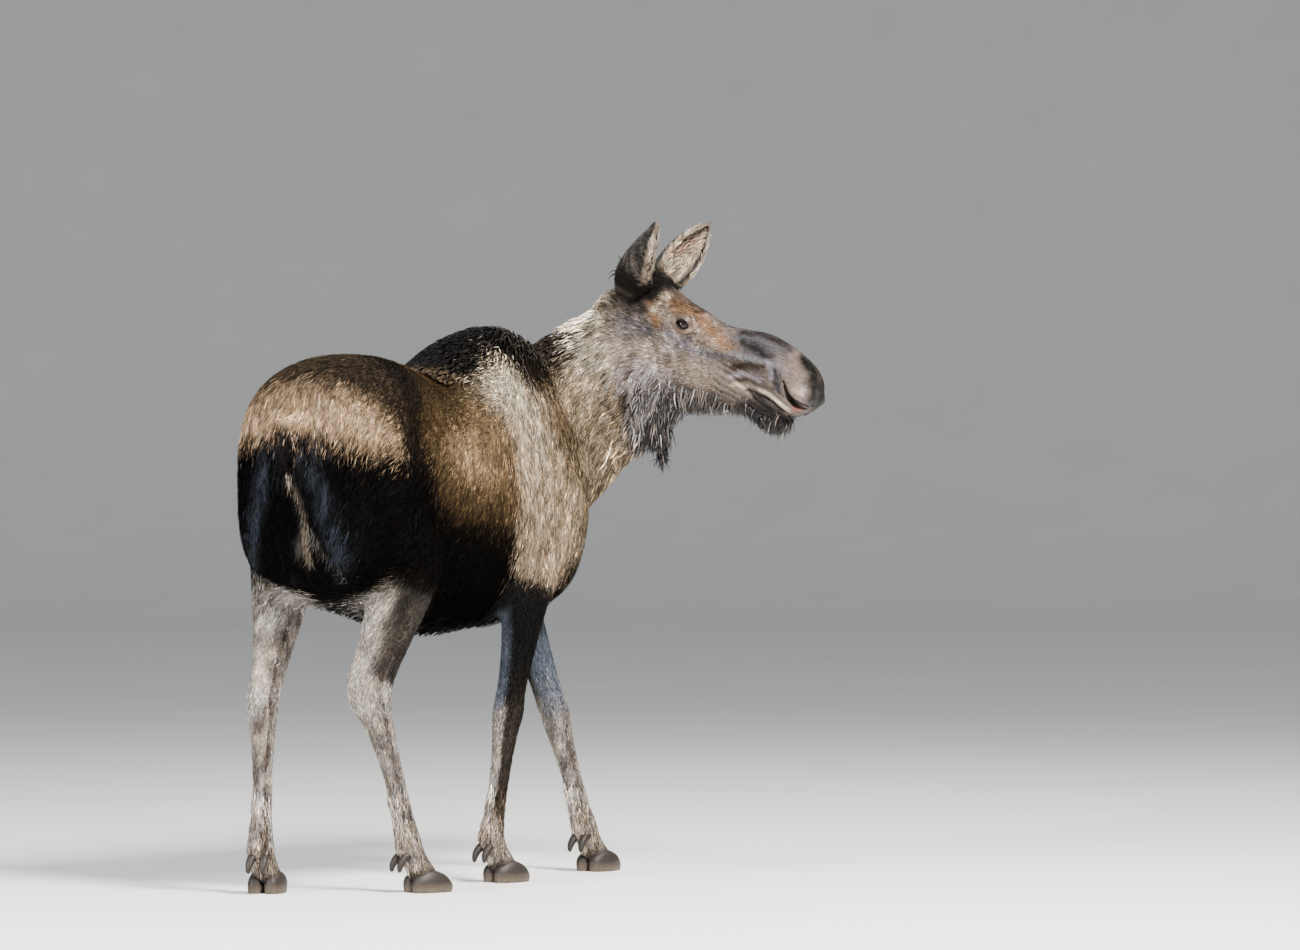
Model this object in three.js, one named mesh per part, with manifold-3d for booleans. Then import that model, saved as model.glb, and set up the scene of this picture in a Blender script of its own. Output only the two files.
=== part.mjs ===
// A cow moose, life size, standing in mid-stride with the head turned to the right. Millimetres, +Z up.
// The animal is modelled standing straight, with x measured ahead of the root of the tail, y to its left
// and z above the ground. Each mass is then laid along a spine that turns to the right, the masses are
// joined, and the finished body is parted into torso, neck, head, ears and leg segments by thin cuts.
import * as THREE from "three";
import { mergeVertices } from "three/addons/utils/BufferGeometryUtils.js";
import Module from "manifold-3d";

const wasm = await Module();
wasm.setup();

// ---------------------------------------------------------------- driving dimensions
const GAP = 0.3; // kept between neighbouring pieces
const ORIGIN = { x: 839, y: -326, z: 0 }; // the middle of the turned animal's outline, seen from above
const TRUNK_TURN = { from: 450, over: 800, by: 8 }; // the trunk bends a little to the right
const NECK_TURN = { from: 1190, over: 460, by: 70 }; // and the neck carries the head round
const HEAD = { x: 1631, z: 1930, pitch: 25 }; // the head's own origin, at the nape, and its slope
const EYE = { radius: 24, at: [210, 6, 80], slit: [23, 17], lid: 5 }; // in the head's frame, as the ears
const EARS = {
  left: { base: [10, 46, 80], tip: [34, 304, 220], wide: 67, deep: 62, facing: -32 },
  right: { base: [-16, 36, 80], tip: [34, 294, 222], wide: 56, deep: 66, facing: -8 },
};
const EAR_WALL = 6;
const TAIL_LENGTH = 150;
const BELL = { x: 1716, root: 1560, top: 1488, tip: 1366, wide: 24 }; // the flap of skin and hair under the throat
const LEFT = 1;
const RIGHT = -1;

const rad = THREE.MathUtils.degToRad;
const lerp = THREE.MathUtils.lerp;
const P = (x, y, z) => new THREE.Vector3(x, y, z);
const slope = (from, to) => to.clone().sub(from).normalize();

// ---------------------------------------------------------------- the turned spine
// A way to lay the straight animal along a spine that turns to the right. Points past `rigidFrom` keep
// the spine's heading there, so that what lies ahead of it is turned but not bent.
function bendBy(turns, rigidFrom = 4000) {
  const START = -400;
  const STEP = 4;
  const heading = (x) =>
    -turns.reduce((sum, t) => sum + rad(t.by) * THREE.MathUtils.smoothstep(x, t.from, t.from + t.over), 0);
  const line = [{ x: START, y: 0 }];
  for (let i = 1; i < 900; i++) {
    const h = heading(START + (i - 0.5) * STEP);
    line.push({ x: line[i - 1].x + STEP * Math.cos(h), y: line[i - 1].y + STEP * Math.sin(h) });
  }
  return (p) => {
    const x = Math.min(p.x, rigidFrom);
    const [i, f] = [Math.floor((x - START) / STEP), ((x - START) / STEP) % 1];
    const h = heading(p.x);
    return new THREE.Vector3(
      lerp(line[i].x, line[i + 1].x, f) + (p.x - x) * Math.cos(h) - p.y * Math.sin(h) - ORIGIN.x,
      lerp(line[i].y, line[i + 1].y, f) + (p.x - x) * Math.sin(h) + p.y * Math.cos(h) - ORIGIN.y,
      p.z - ORIGIN.z,
    );
  };
}
const inTrunk = bendBy([TRUNK_TURN]);
const inNeck = bendBy([TRUNK_TURN, NECK_TURN]);

// The head is rigid: it takes the neck's last heading as a whole.
const HEADING = -rad(TRUNK_TURN.by + NECK_TURN.by);
const nape = inNeck(P(HEAD.x, 0, HEAD.z));
const inSkull = (p) =>
  P(p.x - HEAD.x, p.y, p.z - HEAD.z).applyAxisAngle(P(0, 0, 1), HEADING).add(nape);

// A point given in the head's own frame: a along the face towards the nose, b above that line, c to the left.
function inHead(a, b, c = 0) {
  const p = rad(HEAD.pitch);
  return P(HEAD.x + a * Math.cos(p) + b * Math.sin(p), c, HEAD.z - a * Math.sin(p) + b * Math.cos(p));
}

function laid(geometry, bend) {
  const positions = geometry.getAttribute("position");
  for (let i = 0; i < positions.count; i++) {
    const p = bend(new THREE.Vector3().fromBufferAttribute(positions, i));
    positions.setXYZ(i, p.x, p.y, p.z);
  }
  return geometry;
}

// ---------------------------------------------------------------- swept bodies
// A value carried smoothly through the stations by cubic Hermite pieces.
function carried(places, values, at) {
  const last = places.length - 1;
  let i = 0;
  while (i < last - 1 && at > places[i + 1]) i++;
  const slope = (k) => {
    const [k0, k1] = [Math.max(k - 1, 0), Math.min(k + 1, last)];
    return (values[k1] - values[k0]) / (places[k1] - places[k0]);
  };
  const width = places[i + 1] - places[i];
  const t = (at - places[i]) / width;
  const [t2, t3] = [t * t, t * t * t];
  return (
    (2 * t3 - 3 * t2 + 1) * values[i] +
    (t3 - 2 * t2 + t) * width * slope(i) +
    (3 * t2 - 2 * t3) * values[i + 1] +
    (t3 - t2) * width * slope(i + 1)
  );
}

// A sine or cosine drawn towards a box's as `power` grows past 2.
const oval = (v, power) => Math.sign(v) * Math.abs(v) ** (2 / power);

// The surface of an oval section swept along the stations. Each has `at`, its centre; `wide`, its half-width;
// `up` and `down`, its half-depths on the two sides of the path; `yaw`, which way it faces, in degrees; and
// `squareUp` and `squareDown`. Up is forward on a path that runs down. `upright` sections don't lean with
// the path. Round caps close the ends. point(at, angle) is the place at that distance and round the section.
function surfaceOf(stations, { capStart = 40, capEnd = 40, across, upright = false }) {
  const places = [0];
  for (let i = 1; i < stations.length; i++)
    places.push(places[i - 1] + stations[i].at.distanceTo(stations[i - 1].at));
  const length = places.at(-1);
  const read = (key, standard) => {
    const values = stations.map((s) => s[key] ?? standard);
    return (at) => carried(places, values, at);
  };
  const [wide, up, down] = [read("wide"), read("up"), read("down")];
  const [yaw, squareUp, squareDown] = [read("yaw", 0), read("squareUp", 2), read("squareDown", 2)];
  const path = ["x", "y", "z"].map((axis) => stations.map((s) => s.at[axis]));
  const centre = (at) => P(...path.map((values) => carried(places, values, at)));

  const point = (at, a) => {
    const step = Math.min(at, length - at, 5) || 1;
    const ahead = centre(at + step).sub(centre(at - step)).normalize();
    const y = rad(yaw(at));
    const side = across ?? P(-Math.sin(y), Math.cos(y), 0);
    const above = upright ? P(0, 0, 1) : new THREE.Vector3().crossVectors(ahead, side).normalize();
    const beside = upright ? P(0, 1, 0) : new THREE.Vector3().crossVectors(above, ahead);
    const near = Math.min(at / capStart, (length - at) / capEnd, 1);
    const size = Math.sqrt(1 - (1 - near) ** 2);
    const power = Math.sin(a) >= 0 ? squareUp(at) : squareDown(at);
    const depth = Math.sin(a) >= 0 ? up(at) : down(at);
    return centre(at)
      .addScaledVector(beside, size * wide(at) * oval(Math.cos(a), power))
      .addScaledVector(above, size * depth * oval(Math.sin(a), power));
  };
  return { point, centre, length };
}

// The same as a closed mesh, with `rings` lengths of `sides` faces and `capRings` more in each cap.
function sweep(stations, { rings, sides, capRings = 3, ...shape }) {
  const { capStart = 40, capEnd = 40 } = shape;
  const { point, centre, length } = surfaceOf(stations, shape);
  const levels = [];
  const capAt = (cap, i) => cap * (1 - Math.cos((i / (capRings + 1)) * (Math.PI / 2)));
  for (let i = 1; i <= capRings; i++) levels.push(capAt(capStart, i));
  for (let i = 0; i <= rings; i++) levels.push(lerp(capStart, length - capEnd, i / rings));
  for (let i = capRings; i >= 1; i--) levels.push(length - capAt(capEnd, i));

  const points = levels.flatMap((at) =>
    Array.from({ length: sides }, (_, k) => point(at, (k / sides) * 2 * Math.PI)),
  );
  return ringed(points, sides, centre(0), centre(length));
}

// Closes rings of points into one body, with a fan to the point at each end.
function ringed(points, sides, start, end) {
  const rings = points.length / sides;
  const faces = [];
  for (let r = 0; r + 1 < rings; r++)
    for (let k = 0; k < sides; k++) {
      const [a, b] = [r * sides + k, r * sides + ((k + 1) % sides)];
      faces.push(a, b, a + sides, b, b + sides, a + sides);
    }
  for (let k = 0; k < sides; k++) {
    const next = (k + 1) % sides;
    faces.push(points.length, next, k);
    faces.push(points.length + 1, (rings - 1) * sides + k, (rings - 1) * sides + next);
  }
  return new THREE.BufferGeometry().setFromPoints([...points, start, end]).setIndex(faces);
}

// A muscle or joint: an egg at `at`, with half-sizes along, across and up, tipped nose-down by `tip` degrees
// and turned by `yaw`.
function lump(at, [along, across, high], { tip = 0, yaw = 0, detail = 14 } = {}) {
  return new THREE.SphereGeometry(1, detail, Math.round(detail * 0.7))
    .rotateX(Math.PI / 2)
    .scale(along, across, high)
    .rotateY(rad(tip))
    .rotateZ(rad(yaw))
    .translate(at.x, at.y, at.z);
}

// ---------------------------------------------------------------- solids
function solid(geometry) {
  const bare = geometry.clone();
  bare.deleteAttribute("normal");
  bare.deleteAttribute("uv");
  const merged = mergeVertices(bare, 1e-3);
  return new wasm.Manifold(
    new wasm.Mesh({
      numProp: 3,
      vertProperties: merged.attributes.position.array,
      triVerts: new Uint32Array(merged.index.array),
    }),
  );
}

function geometryOf(manifold) {
  const mesh = manifold.getMesh();
  return new THREE.BufferGeometry()
    .setAttribute("position", new THREE.BufferAttribute(Float32Array.from(mesh.vertProperties), 3))
    .setIndex(new THREE.BufferAttribute(Uint32Array.from(mesh.triVerts), 1));
}

const joined = (geometries) => geometries.map(solid).reduce((whole, next) => whole.add(next));
const bothSides = (make) => [LEFT, RIGHT].flatMap(make);

// ---------------------------------------------------------------- trunk, neck and tail
// Each station gives x, top, bottom, half-width and the height of the widest level.
const TRUNK = [
  { x: -28, top: 1560, bottom: 1075, wide: 208, mid: 1370, squareUp: 2.4, squareDown: 3 },
  { x: 60, top: 1668, bottom: 988, wide: 266, mid: 1370, squareUp: 2.7, squareDown: 3.6 },
  { x: 200, top: 1732, bottom: 930, wide: 286, mid: 1400, squareUp: 2.7, squareDown: 2.9 },
  { x: 340, top: 1740, bottom: 890, wide: 282, mid: 1380, squareUp: 2.5, squareDown: 2.1 },
  { x: 480, top: 1720, bottom: 858, wide: 286, mid: 1320, squareUp: 2.3, squareDown: 2.2 },
  { x: 600, top: 1682, bottom: 838, wide: 292, mid: 1280, squareUp: 2.2, squareDown: 2.2 },
  { x: 700, top: 1716, bottom: 825, wide: 294, mid: 1270, squareUp: 2.0, squareDown: 2.2 },
  { x: 800, top: 1782, bottom: 835, wide: 290, mid: 1260, squareUp: 1.8, squareDown: 2.2 },
  { x: 900, top: 1824, bottom: 845, wide: 278, mid: 1260, squareUp: 1.7, squareDown: 2.1 },
  { x: 1000, top: 1840, bottom: 850, wide: 264, mid: 1260, squareUp: 1.7, squareDown: 2.1 },
  { x: 1100, top: 1834, bottom: 872, wide: 250, mid: 1260, squareUp: 1.7, squareDown: 2.0 },
  { x: 1200, top: 1790, bottom: 888, wide: 226, mid: 1260, squareUp: 1.8, squareDown: 2.0 },
  { x: 1310, top: 1690, bottom: 928, wide: 190, mid: 1290, squareUp: 2.0, squareDown: 2.2 },
  { x: 1404, top: 1570, bottom: 1000, wide: 142, mid: 1310, squareUp: 2.0, squareDown: 2.0 },
].map((s) => ({ ...s, at: P(s.x, 0, s.mid), up: s.top - s.mid, down: s.mid - s.bottom }));

const NECK = [
  { at: P(1080, 0, 1395), wide: 180, up: 330, down: 340 },
  { at: P(1240, 0, 1480), wide: 176, up: 285, down: 330 },
  { at: P(1360, 0, 1570), wide: 160, up: 232, down: 302 },
  { at: P(1470, 0, 1668), wide: 142, up: 198, down: 300 },
  { at: P(1560, 0, 1758), wide: 128, up: 172, down: 302 },
  { at: P(1650, 0, 1825), wide: 108, up: 156, down: 285 },
  { at: P(1735, 0, 1858), wide: 84, up: 80, down: 225 },
];

const TAIL = [
  { at: P(-14, 0, 1540), wide: 34, up: 26, down: 24 },
  { at: P(-42, 0, 1500), wide: 38, up: 20, down: 22 },
  { at: P(-50, 0, 1450), wide: 34, up: 15, down: 17 },
  { at: P(-54, 0, 1400), wide: 24, up: 11, down: 12 },
  { at: P(-54, 0, 1520 - TAIL_LENGTH), wide: 10, up: 6, down: 6 },
];

const TRUNK_ENDS = { capStart: 62, capEnd: 90, capRings: 2, upright: true };
const NECK_ENDS = { capStart: 60, capEnd: 60, capRings: 2 };
const TAIL_ENDS = { capStart: 20, capEnd: 14, capRings: 2 };
const trunkMasses = () => [
  sweep(TRUNK, { rings: 16, sides: 24, ...TRUNK_ENDS }),
  sweep(TAIL, { rings: 6, sides: 8, ...TAIL_ENDS }),
];
const neckMass = () => sweep(NECK, { rings: 11, sides: 18, ...NECK_ENDS });

// ---------------------------------------------------------------- head
const SKULL = [
  { at: inHead(-34, 16), wide: 66, up: 56, down: 130 },
  { at: inHead(60, 6), wide: 94, up: 86, down: 180, squareDown: 2.4 },
  { at: inHead(150, 0), wide: 97, up: 70, down: 196, squareUp: 2.5, squareDown: 2.8 },
  { at: inHead(230, -8), wide: 90, up: 72, down: 182, squareUp: 2.4, squareDown: 2.9 },
  { at: inHead(330, -14), wide: 72, up: 72, down: 142, squareDown: 2.8 },
  { at: inHead(410, -10), wide: 64, up: 86, down: 112, squareDown: 2.6 },
  { at: inHead(490, -4), wide: 70, up: 99, down: 104 },
  { at: inHead(560, -6), wide: 78, up: 96, down: 112, squareDown: 2.3 },
  { at: inHead(612, -20), wide: 82, up: 97, down: 107, squareDown: 2.4 },
  { at: inHead(652, -32), wide: 82, up: 93, down: 100, squareDown: 2.5 },
  { at: inHead(692, -44), wide: 76, up: 77, down: 84, squareDown: 2.5 },
  { at: inHead(734, -56), wide: 64, up: 58, down: 60, squareDown: 2.4 },
];
const JAW = [
  { at: inHead(-20, -110), wide: 66, up: 80, down: 110 },
  { at: inHead(90, -140), wide: 84, up: 100, down: 138, squareUp: 2.6 },
  { at: inHead(190, -146), wide: 84, up: 100, down: 136, squareUp: 3 },
  { at: inHead(290, -142), wide: 75, up: 92, down: 114, squareUp: 3.4 },
  { at: inHead(380, -138), wide: 67, up: 82, down: 84, squareUp: 3.4 },
  { at: inHead(450, -138), wide: 59, up: 56, down: 55, squareUp: 3 },
  { at: inHead(530, -140), wide: 50, up: 38, down: 39 },
  { at: inHead(600, -144), wide: 50, up: 32, down: 50 },
  { at: inHead(640, -142), wide: 42, up: 26, down: 40 },
  { at: inHead(672, -134), wide: 26, up: 12, down: 20 },
];
const JAW_ENDS = { capStart: 50, capEnd: 26, capRings: 2 };
const inFace = ([a, b, c], side) => inHead(a, b, side * c);

// Folds of the muzzle on one side: [a, b, c] in the head's frame, then the fold's half-thickness.
const UPPER_LIP = [[484, -90, 56, 9], [530, -86, 60, 12], [592, -80, 66, 13], [640, -92, 64, 12], [684, -106, 50, 9]];
const LOWER_LIP = [[500, -116, 46, 8], [560, -112, 48, 11], [620, -118, 46, 11], [668, -124, 28, 8]];
const NOSTRIL_RIM = [[616, -6, 76, 6], [644, -24, 82, 8], [676, -40, 80, 9], [704, -46, 68, 9], [724, -56, 52, 7]];
const rolled = (fold, side) =>
  sweep(
    fold.map(([a, b, c, thick]) => ({ at: inHead(a, b, side * c), wide: thick, up: thick, down: thick })),
    { rings: 5, sides: 6, capStart: 12, capEnd: 12, capRings: 1 },
  );

// The two lids: a rim round the slit that the eye shows through.
function lidRing(side) {
  const [a, b, c] = EYE.at;
  const at = inFace([a, b, c + EYE.radius - EYE.lid * 0.4], side);
  return new THREE.TorusGeometry(EYE.slit[0] + EYE.lid * 0.6, EYE.lid, 5, 14)
    .scale(1, EYE.slit[1] / EYE.slit[0], 1)
    .rotateX(Math.PI / 2)
    .rotateY(rad(LID_TIP))
    .rotateZ(rad(side * 5))
    .translate(at.x, at.y, at.z);
}
const LID_TIP = 8; // how far the slit slopes down to the front

const headMasses = () => [
  sweep(SKULL, { rings: 18, sides: 20, capStart: 50, capEnd: 56 }),
  sweep(JAW, { rings: 14, sides: 14, ...JAW_ENDS }),
  ...bothSides((side) => [
    lump(inHead(202, 8, side * 60), [74, 39, 43], { tip: HEAD.pitch, yaw: side * 4, detail: 10 }),
    lump(inHead(100, -130, side * 52), [112, 42, 108], { tip: HEAD.pitch + 20, detail: 10 }),
    lump(inHead(668, -40, side * 44), [62, 46, 52], { tip: HEAD.pitch, detail: 10 }),
    lidRing(side),
    rolled(UPPER_LIP, side),
    rolled(LOWER_LIP, side),
    rolled(NOSTRIL_RIM, side),
  ]),
];

// The bell hangs from the throat and narrows to its tip.
function bellStations() {
  const drop = BELL.top - BELL.tip;
  return [
    { at: P(BELL.x, 0, BELL.root), wide: BELL.wide * 1.4, up: 36, down: 40 },
    { at: P(BELL.x, 0, BELL.top), wide: BELL.wide * 0.9, up: 24, down: 24 },
    { at: P(BELL.x - 3, 0, BELL.top - drop * 0.35), wide: BELL.wide * 0.6, up: 15, down: 15 },
    { at: P(BELL.x - 6, 0, BELL.top - drop * 0.7), wide: BELL.wide * 0.35, up: 8, down: 8 },
  ];
}
const BELL_ENDS = { capStart: 20, capEnd: 12, capRings: 1 };
const bellMass = () => sweep(bellStations(), { rings: 6, sides: 8, ...BELL_ENDS });

// An ear: a leaf-shaped body with a cup sunk into the side it faces.
const earOf = (side) => (side === LEFT ? EARS.left : EARS.right);
const alongEar = (side, t) => inFace(earOf(side).base, side).lerp(inFace(earOf(side).tip, side), t);
function ear(side) {
  const { wide: halfWidth, deep: halfDepth, facing: turn } = earOf(side);
  const axis = slope(alongEar(side, 0), alongEar(side, 1));
  const facing = P(1, 0, 0).applyAxisAngle(P(0, 0, 1), side * rad(turn));
  const beside = new THREE.Vector3().crossVectors(facing, axis).normalize();
  const LEAF = [
    { t: -0.2, wide: 0.55, deep: 0.62 },
    { t: 0.02, wide: 0.78, deep: 0.94 },
    { t: 0.25, wide: 0.97, deep: 1.04 },
    { t: 0.45, wide: 1, deep: 0.9 },
    { t: 0.65, wide: 0.86, deep: 0.64 },
    { t: 0.83, wide: 0.54, deep: 0.36 },
    { t: 1, wide: 0.16, deep: 0.14 },
  ];
  const leaf = LEAF.map(({ t, wide, deep }) => ({
    at: alongEar(side, t),
    wide: wide * halfWidth,
    up: deep * halfDepth,
    down: deep * halfDepth,
  }));
  const cup = LEAF.slice(1).map(({ t, wide, deep }) => ({
    at: alongEar(side, lerp(0.14, 0.96, (t - 0.02) / 0.98)),
    wide: Math.max(wide * halfWidth - EAR_WALL, 3),
    up: Math.max(deep * halfDepth * 1.35, 12),
    down: Math.max(deep * halfDepth - EAR_WALL, 2),
  }));
  const options = { rings: 7, sides: 11, across: beside, capStart: 16, capEnd: 12, capRings: 1 };
  return solid(laid(sweep(leaf, options), inSkull)).subtract(
    solid(laid(sweep(cup, { ...options, capStart: 30 }), inSkull)),
  );
}

function eyeball(side, radius) {
  const at = inFace(EYE.at, side);
  return laid(new THREE.SphereGeometry(radius, 12, 8).translate(at.x, at.y, at.z), inSkull);
}

// Openings on one side: [a, b, c] in the head's frame, then the half-width across the face and the
// half-heights above and below.
const NOSTRIL = [
  [622, -16, 86, 16, 3, 3], [646, -36, 88, 22, 5, 6], [672, -56, 86, 26, 8, 12],
  [698, -68, 76, 28, 13, 14], [718, -70, 62, 22, 11, 8], [734, -70, 48, 12, 4, 3],
];
const MOUTH = [
  [498, -103, 62, 20, 2, 2], [540, -98, 66, 24, 3, 3], [592, -94, 70, 26, 3.5, 3.5],
  [642, -106, 66, 28, 3.5, 3.5], [690, -116, 48, 30, 3.5, 3.5],
];

// What is taken out of the head: eye sockets and the slits between the lids, nostrils and the mouth.
function faceCuts() {
  const lidSlit = (side) => {
    const at = inFace([EYE.at[0], EYE.at[1], EYE.at[2] + EYE.radius + 3], side);
    return lump(at, [EYE.slit[0], EYE.radius, EYE.slit[1]], { tip: LID_TIP, yaw: side * 5, detail: 10 });
  };
  const slit = (path, shape) => (side) =>
    sweep(
      path.map(([a, b, c, wide, up, down]) => ({ at: inHead(a, b, side * c), wide, up, down })),
      { sides: 7, capStart: 10, capEnd: 10, capRings: 0, ...shape },
    );
  const nostril = slit(NOSTRIL, { rings: 6 });
  const mouth = slit(MOUTH, { rings: 4 });
  return bothSides((side) => [
    eyeball(side, EYE.radius + GAP),
    ...[lidSlit(side), nostril(side), mouth(side)].map((g) => laid(g, inSkull)),
  ]);
}

// ---------------------------------------------------------------- long hair
// One lock: a flat strand that leaves `root` along `lie`, lifts off the skin and droops to its tip.
function lock(root, lie, out, { long, wide, thick, lift, droop }) {
  const across = new THREE.Vector3().crossVectors(out, lie).normalize();
  const place = (t) =>
    root
      .clone()
      .addScaledVector(lie, long * t)
      .addScaledVector(out, LOCK_SINK * (t === 0 ? -1 : 0) + lift * long * Math.sin(t * 2))
      .add(P(0, 0, -droop * long * t * t));
  const TAPER = [1, 1, 0.72, 0.3];
  return sweep(
    TAPER.map((taper, i) => ({ at: place(i / 3), wide: wide * taper, up: thick * taper, down: thick * taper })),
    { rings: 2, sides: 4, capStart: 1, capEnd: long * 0.24, capRings: 0, across },
  );
}
const LOCK_SINK = 14;
const varied = (size, share) => size * (1 + share * (2 * THREE.MathUtils.seededRandom() - 1));

// Locks spread over part of a surface: `reach` is its span along the body and `round` its span round it,
// both as places on the surface, and the hair lies `back` along the body and `hang`s.
function locksOn({ point }, { count, reach, round, back, hang, ...size }) {
  return Array.from({ length: count }, (_, i) => {
    const at = varied(lerp(...reach, (i + 0.5) / count), 0.01);
    const angle = rad(lerp(...round, THREE.MathUtils.seededRandom()));
    const root = point(at, angle);
    const ahead = slope(root, point(at + 3, angle));
    const out = new THREE.Vector3().crossVectors(slope(root, point(at, angle + 0.03)), ahead).normalize();
    const lie = P(0, 0, -hang).addScaledVector(ahead, -back);
    lie.addScaledVector(out, -lie.dot(out)).normalize();
    return lock(root, lie, out, { ...size, long: varied(size.long, 0.3), wide: varied(size.wide, 0.25) });
  });
}
const HUMP_LOCKS = { count: 26, reach: [850, 1330], round: [62, 118], back: 1, hang: 0.15,
  long: 95, wide: 15, thick: 4, lift: 0.16, droop: 0.1 };
const CREST_LOCKS = { count: 18, reach: [250, 620], round: [66, 114], back: 1, hang: 0.15,
  long: 85, wide: 13, thick: 4, lift: 0.18, droop: 0.1 };
const JAW_LOCKS = { count: 26, reach: [190, 430], round: [232, 308], back: 0.25, hang: 1,
  long: 52, wide: 7, thick: 3.5, lift: 0.1, droop: 0.9 };
const CHIN_LOCKS = { count: 9, reach: [570, 650], round: [235, 305], back: 0.3, hang: 1,
  long: 22, wide: 5, thick: 3, lift: 0.2, droop: 0.6 };
const TAIL_LOCKS = { count: 9, reach: [90, 150], round: [0, 360], back: -1, hang: 1,
  long: 55, wide: 8, thick: 3, lift: 0.05, droop: 0.3 };
const BELL_LOCKS = { count: 6, reach: [90, 140], round: [0, 360], back: -1, hang: 1,
  long: 40, wide: 7, thick: 3.5, lift: 0.04, droop: 0.3 };

// Every lock in its place on the turned animal.
function longHair() {
  THREE.MathUtils.seededRandom(11);
  const grown = (surface, bend, band) => locksOn(surface, band).map((g) => laid(g, bend));
  const jaw = surfaceOf(JAW, JAW_ENDS);
  return [
    ...grown(surfaceOf(TRUNK, TRUNK_ENDS), inTrunk, HUMP_LOCKS),
    ...grown(surfaceOf(NECK, NECK_ENDS), inNeck, CREST_LOCKS),
    ...grown(jaw, inSkull, JAW_LOCKS),
    ...grown(jaw, inSkull, CHIN_LOCKS),
    ...grown(surfaceOf(TAIL, TAIL_ENDS), inTrunk, TAIL_LOCKS),
    ...grown(surfaceOf(bellStations(), BELL_ENDS), inSkull, BELL_LOCKS),
  ];
}

// ---------------------------------------------------------------- legs
// Shapes of the two kinds of leg. `bone` counts along the joints, so 1.5 is half way down the second bone.
const HIND_SHAPE = [
  { bone: 0, wide: 100, up: 180, down: 190 },
  { bone: 0.5, wide: 112, up: 165, down: 215 },
  { bone: 0.9, wide: 98, up: 115, down: 205 },
  { bone: 1.2, wide: 82, up: 68, down: 178 },
  { bone: 1.38, wide: 74, up: 62, down: 155 },
  { bone: 1.6, wide: 59, up: 60, down: 126 },
  { bone: 1.8, wide: 50, up: 56, down: 110 },
  { bone: 1.95, wide: 48, up: 62, down: 106 },
  { bone: 2.06, wide: 48, up: 58, down: 94 },
  { bone: 2.2, wide: 42, up: 44, down: 60 },
  { bone: 2.5, wide: 35, up: 36, down: 38 },
  { bone: 2.8, wide: 35, up: 34, down: 38 },
  { bone: 3.0, wide: 43, up: 40, down: 46 },
  { bone: 3.4, wide: 42, up: 34, down: 42 },
  { bone: 4, wide: 54, up: 46, down: 50 },
];
const FORE_SHAPE = [
  { bone: 0, wide: 50, up: 120, down: 130 },
  { bone: 0.5, wide: 72, up: 130, down: 150 },
  { bone: 1, wide: 84, up: 130, down: 150 },
  { bone: 1.6, wide: 82, up: 105, down: 150 },
  { bone: 2.0, wide: 74, up: 86, down: 118 },
  { bone: 2.4, wide: 58, up: 64, down: 68 },
  { bone: 2.8, wide: 50, up: 50, down: 52 },
  { bone: 3.0, wide: 54, up: 56, down: 54 },
  { bone: 3.2, wide: 44, up: 42, down: 46 },
  { bone: 3.5, wide: 37, up: 33, down: 38 },
  { bone: 3.8, wide: 36, up: 33, down: 38 },
  { bone: 4.0, wide: 43, up: 40, down: 46 },
  { bone: 4.4, wide: 41, up: 34, down: 42 },
  { bone: 5, wide: 54, up: 46, down: 50 },
];

// Joints of each leg, from the top down to the coronet. `toeOut` is how far the foot points away from
// the midline, and `foreCut` and `kneeCut` say where on its bones the leg is parted.
const LEGS = {
  hind_left: {
    shape: HIND_SHAPE, side: LEFT, toeOut: 18, yawFrom: 0.8, cuts: [1.48, 2.03, 3.02],
    joints: [P(230, 140, 1430), P(276, 218, 1030), P(44, 147, 618), P(66, 172, 150), P(116, 188, 44)],
  },
  hind_right: {
    shape: HIND_SHAPE, side: RIGHT, toeOut: 22, yawFrom: 0.8, cuts: [1.48, 2.03, 3.02],
    joints: [P(280, -140, 1430), P(402, -206, 1035), P(262, -128, 652), P(386, -188, 150), P(436, -208, 44)],
  },
  fore_left: {
    shape: FORE_SHAPE, side: LEFT, toeOut: 2, yawFrom: 1.6, cuts: [2.3, 3.0, 4.02],
    joints: [P(1090, 95, 1600), P(1272, 156, 1250), P(1300, 146, 965), P(1404, 58, 548), P(1540, 40, 150), P(1596, 40, 44)],
  },
  fore_right: {
    shape: FORE_SHAPE, side: RIGHT, toeOut: 8, yawFrom: 1.6, cuts: [2.3, 3.0, 4.02],
    joints: [P(1050, -95, 1600), P(1160, -163, 1260), P(1010, -190, 950), P(970, -138, 560), P(928, -108, 150), P(980, -114, 44)],
  },
};

const alongLeg = ({ joints }, bone) => {
  const i = Math.min(Math.floor(bone), joints.length - 2);
  return new THREE.Vector3().lerpVectors(joints[i], joints[i + 1], bone - i);
};
const legStations = (leg) =>
  leg.shape.map(({ bone, ...sizes }) => ({
    ...sizes,
    at: alongLeg(leg, bone),
    yaw: leg.side * leg.toeOut * THREE.MathUtils.smoothstep(bone, leg.yawFrom, leg.yawFrom + 1.2),
  }));
const legMass = (leg) => sweep(legStations(leg), { rings: 20, sides: 12, capStart: 60, capEnd: 14, capRings: 1 });

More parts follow.
